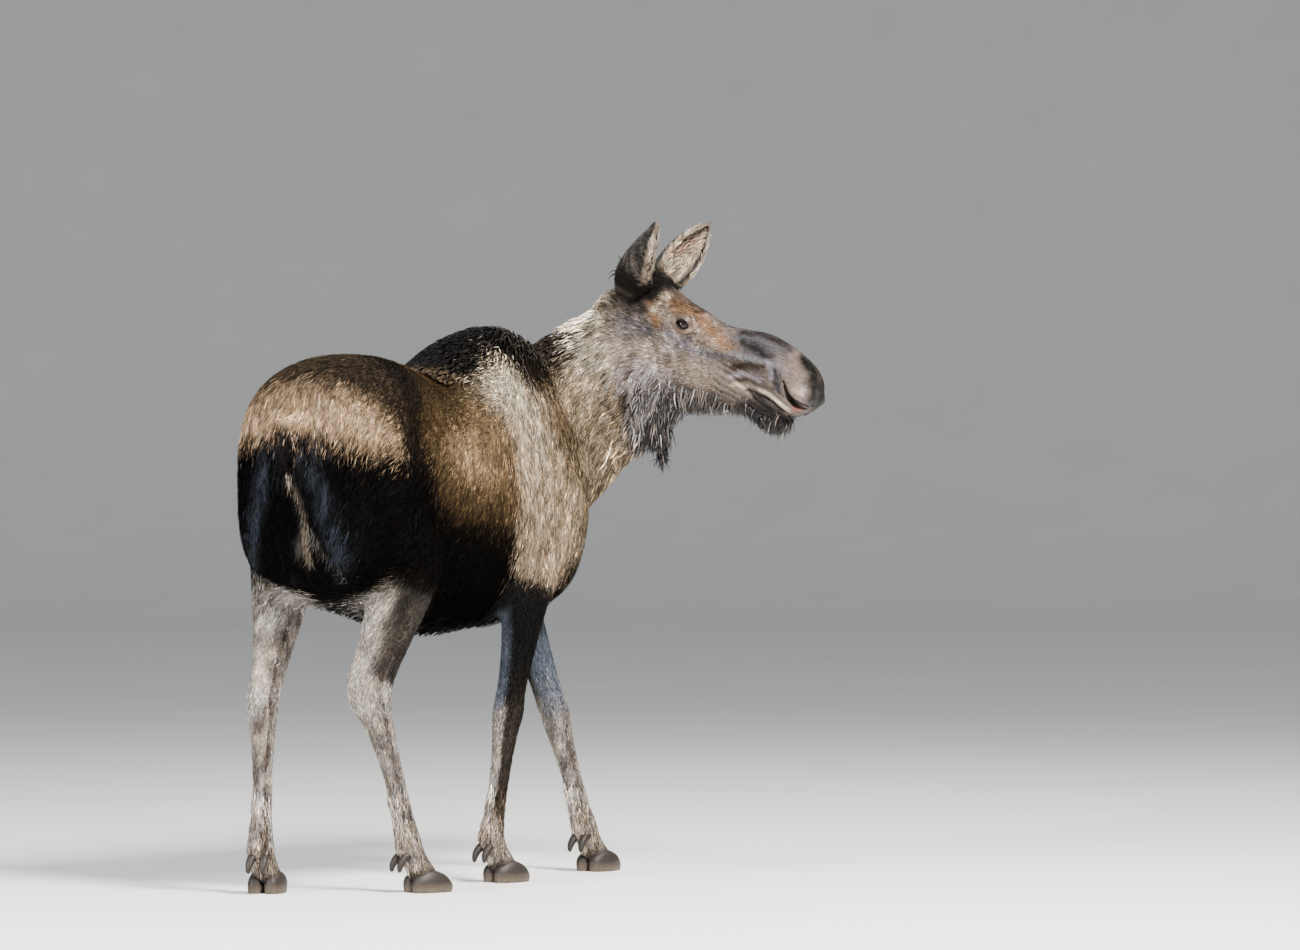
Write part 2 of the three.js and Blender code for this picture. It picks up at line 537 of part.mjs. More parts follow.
// A foot's own frame stands on the ground under the coronet: f ahead along the toes, s to its left.
const footPoint = (leg, f, s, z) =>
  P(f, s, 0).applyAxisAngle(P(0, 0, 1), rad(leg.side * leg.toeOut)).add(P(leg.joints.at(-1).x, leg.joints.at(-1).y, z));
const CLAW = [
  { f: -62, s: 26, z: 20, wide: 16, up: 24, down: 30 },
  { f: -36, s: 29, z: 22, wide: 25, up: 38, down: 40 },
  { f: 0, s: 31, z: 24, wide: 28, up: 50, down: 44 },
  { f: 34, s: 30, z: 22, wide: 25, up: 42, down: 40 },
  { f: 64, s: 26, z: 14, wide: 17, up: 30, down: 30 },
  { f: 88, s: 20, z: 6, wide: 8, up: 14, down: 16 },
];
const DEWCLAW = [
  { f: -48, s: 16, z: 130, wide: 16, up: 16, down: 16 },
  { f: -88, s: 21, z: 116, wide: 14, up: 13, down: 13 },
  { f: -107, s: 24, z: 92, wide: 11, up: 10, down: 10 },
  { f: -112, s: 25, z: 68, wide: 6, up: 5, down: 5 },
];
const footParts = (leg) =>
  bothSides((s) => {
    const placed = (list) => list.map((c) => ({ ...c, at: footPoint(leg, c.f, s * c.s, c.z), yaw: leg.side * leg.toeOut }));
    return [
      sweep(placed(CLAW), { rings: 4, sides: 7, capStart: 14, capEnd: 10, capRings: 0 }),
      sweep(placed(DEWCLAW), { rings: 3, sides: 5, capStart: 8, capEnd: 8, capRings: 0 }),
    ];
  });

// ---------------------------------------------------------------- joining and parting
function wholeBody() {
  const flesh = joined([
    ...trunkMasses().map((g) => laid(g, inTrunk)),
    laid(neckMass(), inNeck),
    ...[...headMasses(), bellMass()].map((g) => laid(g, inSkull)),
    ...Object.values(LEGS).flatMap((leg) => [legMass(leg), ...footParts(leg)]).map((g) => laid(g, inTrunk)),
    ...longHair(),
  ]);
  const underground = solid(new THREE.BoxGeometry(4000, 4000, 400).translate(0, 0, -200 - ORIGIN.z));
  return flesh.add(ear(LEFT)).add(ear(RIGHT)).subtract(underground).subtract(joined(faceCuts()));
}

// A thin plate across `along` at `at`, `wide` by `high`: where two pieces meet, in the straight animal.
function plate(at, along, wide, high, bend) {
  const there = bend(at);
  const ahead = bend(at.clone().addScaledVector(along, 1)).sub(there).normalize();
  const reference = Math.abs(ahead.z) > 0.9 ? P(1, 0, 0) : P(0, 0, 1);
  const beside = new THREE.Vector3().crossVectors(reference, ahead).normalize();
  const above = new THREE.Vector3().crossVectors(ahead, beside);
  return new THREE.BoxGeometry(wide, high, GAP).applyMatrix4(
    new THREE.Matrix4().makeBasis(beside, above, ahead).setPosition(there),
  );
}
function legPlates(leg) {
  const across = (bone) => slope(alongLeg(leg, bone - 0.2), alongLeg(leg, bone + 0.2));
  const [upper, lower, foot] = leg.cuts;
  const coronet = footPoint(leg, 6, 0, 66);
  return [
    plate(alongLeg(leg, upper), P(0, 0, -1), 300, 380, inTrunk),
    plate(alongLeg(leg, lower), across(lower), 260, 260, inTrunk),
    plate(alongLeg(leg, foot), across(foot), 160, 160, inTrunk),
    plate(coronet, slope(coronet, footPoint(leg, -28, 0, 150)), 230, 230, inTrunk),
    ...bothSides((s) => {
      const root = footPoint(leg, -92, s * 22, 114);
      return plate(root, slope(root, footPoint(leg, -107, s * 24, 98)), 44, 60, inTrunk);
    }),
  ];
}

function earPlate(side) {
  return plate(alongEar(side, 0.14), slope(alongEar(side, 0), alongEar(side, 1)), 170, 190, inSkull);
}

const plates = () => [
  plate(P(1330, 0, 1525), P(0.9, 0, 0.43), 1000, 960, inNeck),
  plate(P(1572, 0, 1690), P(0.95, 0, 0.3), 600, 760, inNeck),
  plate(P(-31, 0, 1460), P(1, 0, 0), 120, 240, inTrunk),
  plate(P(BELL.x + 4, 0, BELL.top - 6), P(0.65, 0, -0.76), 110, 110, inSkull),
  ...bothSides(earPlate),
  ...Object.values(LEGS).flatMap(legPlates),
];

const middleOf = (piece) => {
  const { min, max } = piece.boundingBox();
  return P((min[0] + max[0]) / 2, (min[1] + max[1]) / 2, (min[2] + max[2]) / 2);
};
const CRUMB = 3000; // mm3; anything smaller that a cut sets free is dropped
const apart = (body) => body.decompose().filter((piece) => piece.volume() > CRUMB);

// Gives each place in `seeds` the piece whose middle is nearest to it.
function named(pieces, seeds) {
  const entries = Object.entries(seeds).map(([name, seed]) => {
    const distance = (piece) => middleOf(piece).distanceTo(seed);
    return [name, pieces.reduce((best, piece) => (distance(piece) < distance(best) ? piece : best))];
  });
  return Object.fromEntries(entries);
}

function legSeeds(name, leg) {
  const [upper, lower, foot] = leg.cuts;
  const middle = (from, to) => inTrunk(alongLeg(leg, from).lerp(alongLeg(leg, to), 0.5));
  const upperName = name.startsWith("hind") ? "gaskin" : "forearm";
  const seeds = {
    [`${name}_${upperName}`]: middle(upper, lower),
    [`${name}_cannon`]: middle(lower, foot),
    [`${name}_pastern`]: middle(foot, leg.joints.length - 1),
    [`${name}_toes`]: inTrunk(footPoint(leg, 10, 0, 34)),
  };
  bothSides((s) => {
    seeds[`${name}_dewclaw_${s === LEFT ? "left" : "right"}`] = inTrunk(footPoint(leg, -104, s * 24, 92));
  });
  return seeds;
}

// Parts the two claws of a foot along the cleft between them.
function claws(name, leg, toes) {
  const sole = footPoint(leg, 10, 0, 60);
  const cleft = solid(plate(sole, slope(sole, footPoint(leg, 10, 1, 60)), 300, 300, inTrunk));
  return named(apart(toes.subtract(cleft)), {
    [`${name}_claw_left`]: inTrunk(footPoint(leg, 10, 30, 34)),
    [`${name}_claw_right`]: inTrunk(footPoint(leg, 10, -30, 34)),
  });
}

function bodyPieces() {
  const seeds = {
    torso: inTrunk(P(700, 0, 1320)),
    tail: inTrunk(P(-45, 0, 1450)),
    neck: inNeck(P(1420, 0, 1640)),
    head: inSkull(inHead(330, -80)),
    bell: inSkull(P(BELL.x, 0, (BELL.top + BELL.tip) / 2)),
    ear_left: inSkull(alongEar(LEFT, 0.5)),
    ear_right: inSkull(alongEar(RIGHT, 0.5)),
  };
  for (const [name, leg] of Object.entries(LEGS)) Object.assign(seeds, legSeeds(name, leg));
  const pieces = named(apart(wholeBody().subtract(joined(plates()))), seeds);
  for (const [name, leg] of Object.entries(LEGS)) {
    Object.assign(pieces, claws(name, leg, pieces[`${name}_toes`]));
    delete pieces[`${name}_toes`];
  }
  return pieces;
}

// ---------------------------------------------------------------- the model
const FINISHES = {
  coat: { color: 0x41342a, roughness: 0.85 },
  ear: { color: 0x4a3d33, roughness: 0.85 },
  horn: { color: 0x2b2622, roughness: 0.5 },
  eye: { color: 0x120c09, roughness: 0.08 },
};
const finishOf = (name) =>
  ["claw", "eye", "ear"].reduce((found, word) => (name.includes(word) ? word : found), "coat").replace("claw", "horn");

const moose = new THREE.Group();
moose.name = "moose";
function show(name, geometry) {
  const mesh = new THREE.Mesh(geometry, new THREE.MeshStandardMaterial({ ...FINISHES[finishOf(name)], metalness: 0 }));
  mesh.name = name;
  moose.add(mesh);
}
for (const [name, piece] of Object.entries(bodyPieces())) show(name, geometryOf(piece));
show("eye_left", eyeball(LEFT, EYE.radius));
show("eye_right", eyeball(RIGHT, EYE.radius));

export default moose;
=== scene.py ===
"""A cow moose, life size, as a still museum model: one skin, its coat in tufts and locks, eyes and hooves.

The animal is shaped standing straight, in millimetres: x ahead of the root of the tail, y to its left, z up.
Each mass is laid along a spine that turns to the right, and everything ends in metres in the model's frame.
"""
import math
import bpy
import numpy as np
from mathutils import Matrix


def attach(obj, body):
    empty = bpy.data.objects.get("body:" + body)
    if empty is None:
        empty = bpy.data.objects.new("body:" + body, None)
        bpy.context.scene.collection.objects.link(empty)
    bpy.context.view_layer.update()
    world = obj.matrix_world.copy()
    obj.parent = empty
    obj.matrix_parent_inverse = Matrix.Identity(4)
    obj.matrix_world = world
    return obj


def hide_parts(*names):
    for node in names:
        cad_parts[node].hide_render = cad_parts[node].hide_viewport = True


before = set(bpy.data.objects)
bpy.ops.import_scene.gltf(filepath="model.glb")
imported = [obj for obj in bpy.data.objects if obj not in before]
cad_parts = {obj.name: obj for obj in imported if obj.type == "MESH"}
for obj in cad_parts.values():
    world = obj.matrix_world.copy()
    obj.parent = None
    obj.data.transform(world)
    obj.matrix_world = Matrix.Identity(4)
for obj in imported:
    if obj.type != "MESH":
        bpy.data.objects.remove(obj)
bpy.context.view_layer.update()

MM = 0.001
UP = np.array([0.0, 0.0, 1.0])
LEFT, RIGHT = 1, -1
rng = np.random.default_rng(5)


# ------------------------------------------------------------------ small numeric helpers
def smooth(x, low, high):
    """0 below low, 1 above high, 3t^2 - 2t^3 between them."""
    t = np.clip((np.asarray(x, float) - low) / (high - low), 0.0, 1.0)
    return t * t * (3 - 2 * t)


def fraction(x, low, high):
    """0 below low, 1 above high, straight between them."""
    return np.clip((x - low) / (high - low), 0, 1)


def band(x, low, high, soft):
    """1 between low and high, fading over `soft` on either side."""
    return smooth(x, low - soft, low) * (1 - smooth(x, high, high + soft))


def mix(a, b, share):
    """a where share is 0, b where it is 1, row by row."""
    share = np.asarray(share, float)
    if share.ndim and (np.shape(b)[-1:] == (3,) or np.shape(a)[-1:] == (3,)):
        share = share[..., None]
    return np.asarray(a) * (1 - share) + np.asarray(b) * share


def unit(v):
    """Each row divided by its length."""
    return v / np.maximum(np.linalg.norm(v, axis=-1, keepdims=True), 1e-12)


def dot(a, b):
    """The sum of the products of two rows."""
    return (a * b).sum(-1)


def turned(v, degrees, axis=2):
    """Rows of v turned about one of the main axes."""
    c, s = math.cos(math.radians(degrees)), math.sin(math.radians(degrees))
    i, j = [(1, 2), (2, 0), (0, 1)][axis]
    out = np.array(v, float)
    out[..., i], out[..., j] = c * v[..., i] - s * v[..., j], s * v[..., i] + c * v[..., j]
    return out


# ------------------------------------------------------------------ the turned spine
ORIGIN = np.array([839.0, -326.0, 0.0])
# each turn: where it starts, over how long it runs, and by how many degrees
TRUNK_TURN = (450, 800, 8)
NECK_TURN = (1190, 460, 70)
# the poll, how far the face points below the level, and the head's own heading
HEAD = np.array([1631.0, 0.0, 1930.0])
PITCH = 25
HEADING = -78.0
# the slanting plane where the neck meets the head
JOIN_X, JOIN_Z, JOIN_SLOPE = 1560, 1700, 0.3


class Spine:
    """A line on the ground whose heading falls by smooth steps; points keep their place beside it."""

    START, STEP = -400.0, 4.0

    def __init__(self, turns):
        self.turns = turns
        s = self.START + self.STEP * (np.arange(900) - 0.5)
        h = self.heading(s[1:])
        self.x = self.START + np.concatenate([[0], np.cumsum(self.STEP * np.cos(h))])
        self.y = np.concatenate([[0], np.cumsum(self.STEP * np.sin(h))])

    def heading(self, x):
        """Radians turned to the right at x: the sum of the turns, each by a smooth step."""
        return -sum(math.radians(by) * smooth(x, start, start + over) for start, over, by in self.turns)

    def at(self, x):
        """Where the line itself is at x."""
        f = (x - self.START) / self.STEP
        i = np.arange(len(self.x))
        return np.interp(f, i, self.x), np.interp(f, i, self.y)

    def lay(self, p):
        """Straight animal to turned animal."""
        cx, cy = self.at(p[..., 0])
        h = self.heading(p[..., 0])
        out = np.empty_like(p, dtype=float)
        out[..., 0] = cx - p[..., 1] * np.sin(h)
        out[..., 1] = cy + p[..., 1] * np.cos(h)
        out[..., 2] = p[..., 2]
        return out - ORIGIN

    def unlay(self, q):
        """Turned animal to straight animal, by sliding along the line to the nearest place on it."""
        q = q + ORIGIN
        x = np.clip(q[..., 0], 0, 1900)
        for _ in range(14):
            cx, cy = self.at(x)
            h = self.heading(x)
            x = x + 0.8 * ((q[..., 0] - cx) * np.cos(h) + (q[..., 1] - cy) * np.sin(h))
        cx, cy = self.at(x)
        h = self.heading(x)
        y = -(q[..., 0] - cx) * np.sin(h) + (q[..., 1] - cy) * np.cos(h)
        return np.stack([x, y, q[..., 2]], -1)


trunk_spine = Spine([TRUNK_TURN])
neck_spine = Spine([TRUNK_TURN, NECK_TURN])
in_trunk, in_neck = trunk_spine.lay, neck_spine.lay
NAPE = in_neck(HEAD[None])[0]


def in_skull(p):
    """The head on the straight animal to the turned one: turned by its own heading about the poll."""
    return turned(p - HEAD, HEADING) + NAPE


def head_frame(q):
    """Turned animal to the head's own frame: a along the face, b above it, c to its left."""
    p = turned(q - NAPE, -HEADING)
    c, s = math.cos(math.radians(PITCH)), math.sin(math.radians(PITCH))
    return np.stack([p[..., 0] * c - p[..., 2] * s, p[..., 0] * s + p[..., 2] * c, p[..., 1]], -1)


def in_head(a, b, c=0.0):
    """The head's own frame to the straight animal."""
    co, si = math.cos(math.radians(PITCH)), math.sin(math.radians(PITCH))
    a, b, c = np.broadcast_arrays(np.asarray(a, float), b, c)
    return np.stack([HEAD[0] + a * co + b * si, c, HEAD[2] - a * si + b * co], -1)


def head_dir(a, b, c):
    """A direction in the head's own frame, on the turned animal."""
    return turned(in_head(a, b, c) - in_head(0, 0, 0), HEADING)


def past_join(x, z):
    """How far ahead of the plane between neck and head a point of the straight animal lies."""
    return x - JOIN_X + JOIN_SLOPE * (z - JOIN_Z)


# ------------------------------------------------------------------ swept bodies
def carried(places, values, at):
    """A value carried through the stations by cubic Hermite pieces with centred slopes."""
    places, values = np.asarray(places, float), np.asarray(values, float)
    i = np.clip(np.searchsorted(places, at, side="left") - 1, 0, len(places) - 2)
    k0 = np.maximum(np.arange(len(places)) - 1, 0)
    k1 = np.minimum(np.arange(len(places)) + 1, len(places) - 1)
    gap = places[k1] - places[k0]
    slopes = (values[k1] - values[k0]) / (gap[:, None] if values.ndim > 1 else gap)
    width = places[i + 1] - places[i]
    t = (at - places[i]) / width
    if values.ndim > 1:
        t, width = t[..., None], width[..., None]
    t2, t3 = t * t, t * t * t
    return ((2 * t3 - 3 * t2 + 1) * values[i] + (t3 - 2 * t2 + t) * width * slopes[i]
            + (3 * t2 - 2 * t3) * values[i + 1] + (t3 - t2) * width * slopes[i + 1])


class Loft:
    """An oval section carried along stations: centre + wide*cos|^(2/p) beside + deep*sin|^(2/p) above."""

    def __init__(self, at, wide, up, down, square=2.0, square_down=2.0, yaw=0.0, caps=(40, 40),
                 across=None, upright=False):
        self.path = np.asarray(at, float)
        n = len(self.path)
        self.places = np.concatenate([[0], np.cumsum(np.linalg.norm(np.diff(self.path, axis=0), axis=1))])
        columns = (wide, up, down, square, square_down, yaw)
        self.sizes = np.stack([np.broadcast_to(np.asarray(v, float), n) for v in columns], 1)
        self.length = self.places[-1]
        self.caps, self.across, self.upright = caps, across, upright

    def centre(self, at):
        """The middle of the section."""
        return carried(self.places, self.path, at)

    def point(self, at, angle):
        """The point of the section at an angle; near either end the section shrinks as a circle's arc."""
        at, angle = np.broadcast_arrays(np.asarray(at, float), np.asarray(angle, float))
        step = np.minimum(np.minimum(at, self.length - at), 5.0)
        step = np.where(step > 0, step, 1.0)
        ahead = unit(self.centre(at + step) - self.centre(at - step))
        wide, up, down, square, square_down, yaw = np.moveaxis(carried(self.places, self.sizes, at), -1, 0)
        if self.across is not None:
            side = np.broadcast_to(self.across, ahead.shape)
        else:
            y = np.radians(yaw)
            side = np.stack([-np.sin(y), np.cos(y), 0 * y], -1)
        above = unit(np.cross(ahead, side))
        beside = np.cross(above, ahead)
        if self.upright:
            above, beside = np.broadcast_to(UP, ahead.shape), np.broadcast_to([0.0, 1.0, 0.0], ahead.shape)
        near = np.minimum(np.minimum(at / self.caps[0], (self.length - at) / self.caps[1]), 1.0)
        size = np.sqrt(np.clip(1 - (1 - near) ** 2, 0, 1))
        s, c = np.sin(angle), np.cos(angle)
        power = np.where(s >= 0, square, square_down)
        depth = np.where(s >= 0, up, down)
        x = size * wide * np.sign(c) * np.abs(c) ** (2 / power)
        z = size * depth * np.sign(s) * np.abs(s) ** (2 / power)
        return self.centre(at) + beside * x[..., None] + above * z[..., None]

    def mesh(self, rings, sides, cap_rings=7):
        """Closed mesh: rings of the section, drawn together towards a point at each end."""
        cap = 1 - np.cos(np.arange(1, cap_rings + 1) / (cap_rings + 1) * np.pi / 2)
        levels = np.concatenate([self.caps[0] * cap,
                                 np.linspace(self.caps[0], self.length - self.caps[1], rings + 1),
                                 (self.length - self.caps[1] * cap)[::-1]])
        grid = self.point(levels[:, None], (np.arange(sides) / sides * 2 * np.pi)[None, :])
        return closed(grid, self.centre(np.array(0.0)), self.centre(np.array(self.length)))


def numbered(grid):
    """The numbers of a grid's points, and of their neighbours round each ring."""
    i = np.arange(grid.shape[0] * grid.shape[1]).reshape(grid.shape[:2])
    return i, np.roll(i, -1, axis=1)


def closed(grid, start, end):
    """Rings of points joined into one closed body, with a fan to a point at each end."""
    rings, sides = grid.shape[:2]
    i, j = numbered(grid)
    quads = np.stack([i[:-1], j[:-1], j[1:], i[1:]], -1).reshape(-1, 4)
    a, b = rings * sides, rings * sides + 1
    first = np.stack([np.full(sides, a), j[0], i[0]], -1)
    last = np.stack([np.full(sides, b), i[-1], j[-1]], -1)
    points = np.concatenate([grid.reshape(-1, 3), [start, end]])
    return points, quads, np.concatenate([first, last])


def merged(parts):
    """Several meshes as one: points, quads and triangles with their numbers moved along."""
    points, quads, tris, n = [], [], [], 0
    for p, q, t in parts:
        points.append(p)
        quads.append(np.asarray(q, int).reshape(-1, 4) + n)
        tris.append(np.asarray(t, int).reshape(-1, 3) + n)
        n += len(p)
    return np.concatenate(points), np.concatenate(quads), np.concatenate(tris)


def moved(body, place):
    """A mesh with its points taken to another frame."""
    points, quads, tris = body
    return place(points), quads, tris


def lump(at, size, tip=0.0, yaw=0.0, detail=40):
    """An egg: a ball of unit radius, scaled, tipped nose-down and turned."""
    u = (np.arange(1, detail) / detail * np.pi)[:, None]
    v = (np.arange(2 * detail) / detail * np.pi)[None, :]
    ball = np.stack([np.sin(u) * np.cos(v), np.sin(u) * np.sin(v), np.cos(u) + 0 * v], -1)
    place = lambda p: turned(turned(np.asarray(p) * size, tip, 1), yaw) + at
    return closed(place(ball)[::-1], place([0, 0, -1.0]), place([0, 0, 1.0]))


# ------------------------------------------------------------------ masses of the body
def rows(table):
    """The columns of a table as arrays."""
    return np.array(table, float).T


X, TOP, BOTTOM, WIDE, MID, SQ_UP, SQ_DOWN = rows([
    (-28, 1560, 1075, 208, 1370, 2.4, 3.0), (60, 1668, 988, 266, 1370, 2.7, 3.6),
    (200, 1732, 930, 286, 1400, 2.7, 2.9), (340, 1740, 890, 282, 1380, 2.5, 2.1),
    (480, 1720, 858, 286, 1320, 2.3, 2.2), (600, 1682, 838, 292, 1280, 2.2, 2.2),
    (700, 1716, 825, 294, 1270, 2.0, 2.2), (800, 1782, 835, 290, 1260, 1.8, 2.2),
    (900, 1824, 845, 278, 1260, 1.7, 2.1), (1000, 1840, 850, 264, 1260, 1.7, 2.1),
    (1100, 1834, 872, 250, 1260, 1.7, 2.0), (1200, 1790, 888, 226, 1260, 1.8, 2.0),
    (1310, 1690, 928, 190, 1290, 2.0, 2.2), (1404, 1570, 1000, 142, 1310, 2.0, 2.0)])
TRUNK = Loft(np.stack([X, 0 * X, MID], 1), WIDE, TOP - MID, MID - BOTTOM, SQ_UP, SQ_DOWN,
             caps=(62, 90), upright=True)


def loft(table, **shape):
    """A loft from rows of x, z, half-width, half-depths above and below, in the plane of the spine."""
    x, z, wide, up, down = rows(table)
    return Loft(np.stack([x, 0 * x, z], 1), wide, up, down, **shape)


NECK = loft([(1080, 1395, 180, 330, 340), (1240, 1480, 176, 285, 330), (1360, 1570, 160, 232, 302),
             (1470, 1668, 142, 198, 300), (1560, 1758, 128, 172, 302), (1650, 1825, 108, 156, 285),
             (1735, 1858, 84, 80, 225)], caps=(60, 60))
TAIL = loft([(-14, 1540, 34, 26, 24), (-42, 1500, 38, 20, 22), (-50, 1450, 34, 15, 17),
             (-54, 1400, 24, 11, 12), (-54, 1370, 10, 6, 6)], caps=(20, 14))


def head_loft(table, **shape):
    """A loft along the head from rows of a, b, half-width, half-depths and squareness."""
    a, b, wide, up, down, square, square_down = rows(table)
    return Loft(in_head(a, b), wide, up, down, square, square_down, **shape)


SKULL = head_loft([
    (-34, 16, 66, 56, 130, 2, 2), (60, 6, 94, 86, 180, 2, 2.4), (150, 0, 97, 70, 196, 2.5, 2.8),
    (230, -8, 90, 72, 182, 2.4, 2.9), (330, -14, 72, 72, 142, 2, 2.8), (410, -10, 64, 86, 112, 2, 2.6),
    (490, -4, 70, 99, 104, 2, 2), (560, -6, 78, 96, 112, 2, 2.3), (612, -20, 82, 97, 107, 2, 2.4),
    (652, -32, 82, 93, 100, 2, 2.5), (692, -44, 76, 77, 84, 2, 2.5), (734, -56, 64, 58, 60, 2, 2.4)],
    caps=(50, 56))
JAW = head_loft([
    (-20, -110, 66, 80, 110, 2, 2), (90, -140, 84, 100, 138, 2.6, 2), (190, -146, 84, 100, 136, 3, 2),
    (290, -142, 75, 92, 114, 3.4, 2), (380, -138, 67, 82, 84, 3.4, 2), (450, -138, 59, 56, 55, 3, 2),
    (530, -140, 50, 38, 39, 2, 2), (600, -144, 50, 32, 50, 2, 2), (640, -142, 42, 26, 40, 2, 2),
    (672, -134, 26, 12, 20, 2, 2)], caps=(50, 26))

HIND_SHAPE = rows([
    (0, 100, 180, 190), (0.5, 112, 165, 215), (0.9, 98, 115, 205), (1.2, 82, 68, 178), (1.38, 74, 62, 155),
    (1.6, 59, 60, 126), (1.8, 50, 56, 110), (1.95, 48, 62, 106), (2.06, 48, 58, 94), (2.2, 42, 44, 60),
    (2.5, 35, 36, 38), (2.8, 35, 34, 38), (3.0, 43, 40, 46), (3.4, 42, 34, 42), (4, 54, 46, 50)])
FORE_SHAPE = rows([
    (0, 50, 120, 130), (0.5, 72, 130, 150), (1, 84, 130, 150), (1.6, 82, 105, 150), (2.0, 74, 86, 118),
    (2.4, 58, 64, 68), (2.8, 50, 50, 52), (3.0, 54, 56, 54), (3.2, 44, 42, 46), (3.5, 37, 33, 38),
    (3.8, 36, 33, 38), (4.0, 43, 40, 46), (4.4, 41, 34, 42), (5, 54, 46, 50)])


class Leg:
    """A leg: its joints from the top to the coronet, its shape along them and the way the foot points."""

    def __init__(self, shape, side, toe_out, yaw_from, joints):
        self.joints = np.array(joints, float)
        self.side, self.toe_out = side, toe_out
        bone, wide, up, down = shape
        yaw = side * toe_out * smooth(bone, yaw_from, yaw_from + 1.2)
        self.loft = Loft(self.along(bone), wide, up, down, yaw=yaw, caps=(60, 14))

    def along(self, bone):
        """A place down the leg: whole numbers are its joints, with straight bones between."""
        i = np.minimum(np.floor(bone).astype(int), len(self.joints) - 2)
        t = (bone - i)[..., None]
        return self.joints[i] * (1 - t) + self.joints[i + 1] * t

    def foot(self, f, s, z):
        """A place in the foot's own frame: f ahead along the toes, s to their left, z above the ground."""
        f, s, z = np.broadcast_arrays(np.asarray(f, float), s, z)
        p = turned(np.stack([f, s, 0 * f], -1), self.side * self.toe_out)
        return p + np.stack([self.joints[-1, 0] + 0 * z, self.joints[-1, 1] + 0 * z, z], -1)


LEGS = {
    "hind_left": Leg(HIND_SHAPE, LEFT, 18, 0.8, [
        (230, 140, 1430), (276, 218, 1030), (44, 147, 618), (66, 172, 150), (116, 188, 44)]),
    "hind_right": Leg(HIND_SHAPE, RIGHT, 22, 0.8, [
        (280, -140, 1430), (402, -206, 1035), (262, -128, 652), (386, -188, 150), (436, -208, 44)]),
    "fore_left": Leg(FORE_SHAPE, LEFT, 2, 1.6, [
        (1090, 95, 1600), (1272, 156, 1250), (1300, 146, 965), (1404, 58, 548), (1540, 40, 150),
        (1596, 40, 44)]),
    "fore_right": Leg(FORE_SHAPE, RIGHT, 8, 1.6, [
        (1050, -95, 1600), (1160, -163, 1260), (1010, -190, 950), (970, -138, 560), (928, -108, 150),
        (980, -114, 44)]),
}
CLAW = rows([(-62, 26, 20, 16, 24, 30), (-36, 29, 22, 25, 38, 40), (0, 31, 24, 28, 50, 44),
             (34, 30, 22, 25, 42, 40), (64, 26, 14, 17, 30, 30), (88, 20, 6, 8, 14, 16)])
DEWCLAW = rows([(-48, 16, 130, 16, 16, 16), (-88, 21, 116, 14, 13, 13), (-107, 24, 92, 11, 10, 10),
                (-112, 25, 68, 6, 5, 5)])

EYE_AT, EYE_SLIT, LID_TIP = np.array([210.0, 6.0, 80.0]), (23.0, 17.0), 8.0
EARS = {
    LEFT: dict(base=(10, 46, 80), tip=(34, 304, 220), wide=67, deep=62, facing=-32),
    RIGHT: dict(base=(-16, 36, 80), tip=(34, 294, 222), wide=56, deep=66, facing=-8),
}
EAR_LEAF = rows([(-0.2, 0.55, 0.62), (0.02, 0.78, 0.94), (0.25, 0.97, 1.04), (0.45, 1, 0.9),
                 (0.65, 0.86, 0.64), (0.83, 0.54, 0.36), (1, 0.16, 0.14)])
BELL = dict(x=1716.0, root=1560.0, top=1488.0, tip=1366.0, wide=24.0)


def bell_loft():
    """The flap of skin under the throat: ovals that shrink down to its tip."""
    drop = BELL["top"] - BELL["tip"]
    return loft([(BELL["x"], BELL["root"], BELL["wide"] * 1.4, 36, 40),
                 (BELL["x"], BELL["top"], BELL["wide"] * 0.9, 24, 24),
                 (BELL["x"] - 3, BELL["top"] - drop * 0.35, BELL["wide"] * 0.6, 15, 15),
                 (BELL["x"] - 6, BELL["top"] - drop * 0.7, BELL["wide"] * 0.35, 8, 8)], caps=(20, 12))


def along_ear(side, t):
    """A place on the line from an ear's base, t = 0, to its tip, t = 1."""
    base, tip = (in_head(*np.array(EARS[side][k]) * [1, 1, side]) for k in ("base", "tip"))
    return base + (tip - base) * np.asarray(t, float)[..., None]


def ear_lofts(side):
    """The leaf of an ear and the cup sunk into it, both swept from the base to the tip."""
    e = EARS[side]
    axis = unit(along_ear(side, 1.0) - along_ear(side, 0.0))
    facing = turned(np.array([1.0, 0, 0]), side * e["facing"])
    beside = unit(np.cross(facing, axis))
    t, wide, deep = EAR_LEAF.copy()
    wall = 5.0
    leaf = Loft(along_ear(side, t), wide * e["wide"] - 2, deep * e["deep"] - 2, deep * e["deep"] - 2,
                caps=(16, 12), across=beside)
    t, wide, deep = t[1:], wide[1:] * e["wide"], deep[1:] * e["deep"]
    cup = Loft(along_ear(side, 0.10 + 0.87 * (t - 0.02) / 0.98), np.maximum(wide - wall - 3, 3),
               np.maximum(deep * 1.35, 12), np.maximum(deep - wall - 3, 2), caps=(30, 12), across=beside)
    return leaf, cup


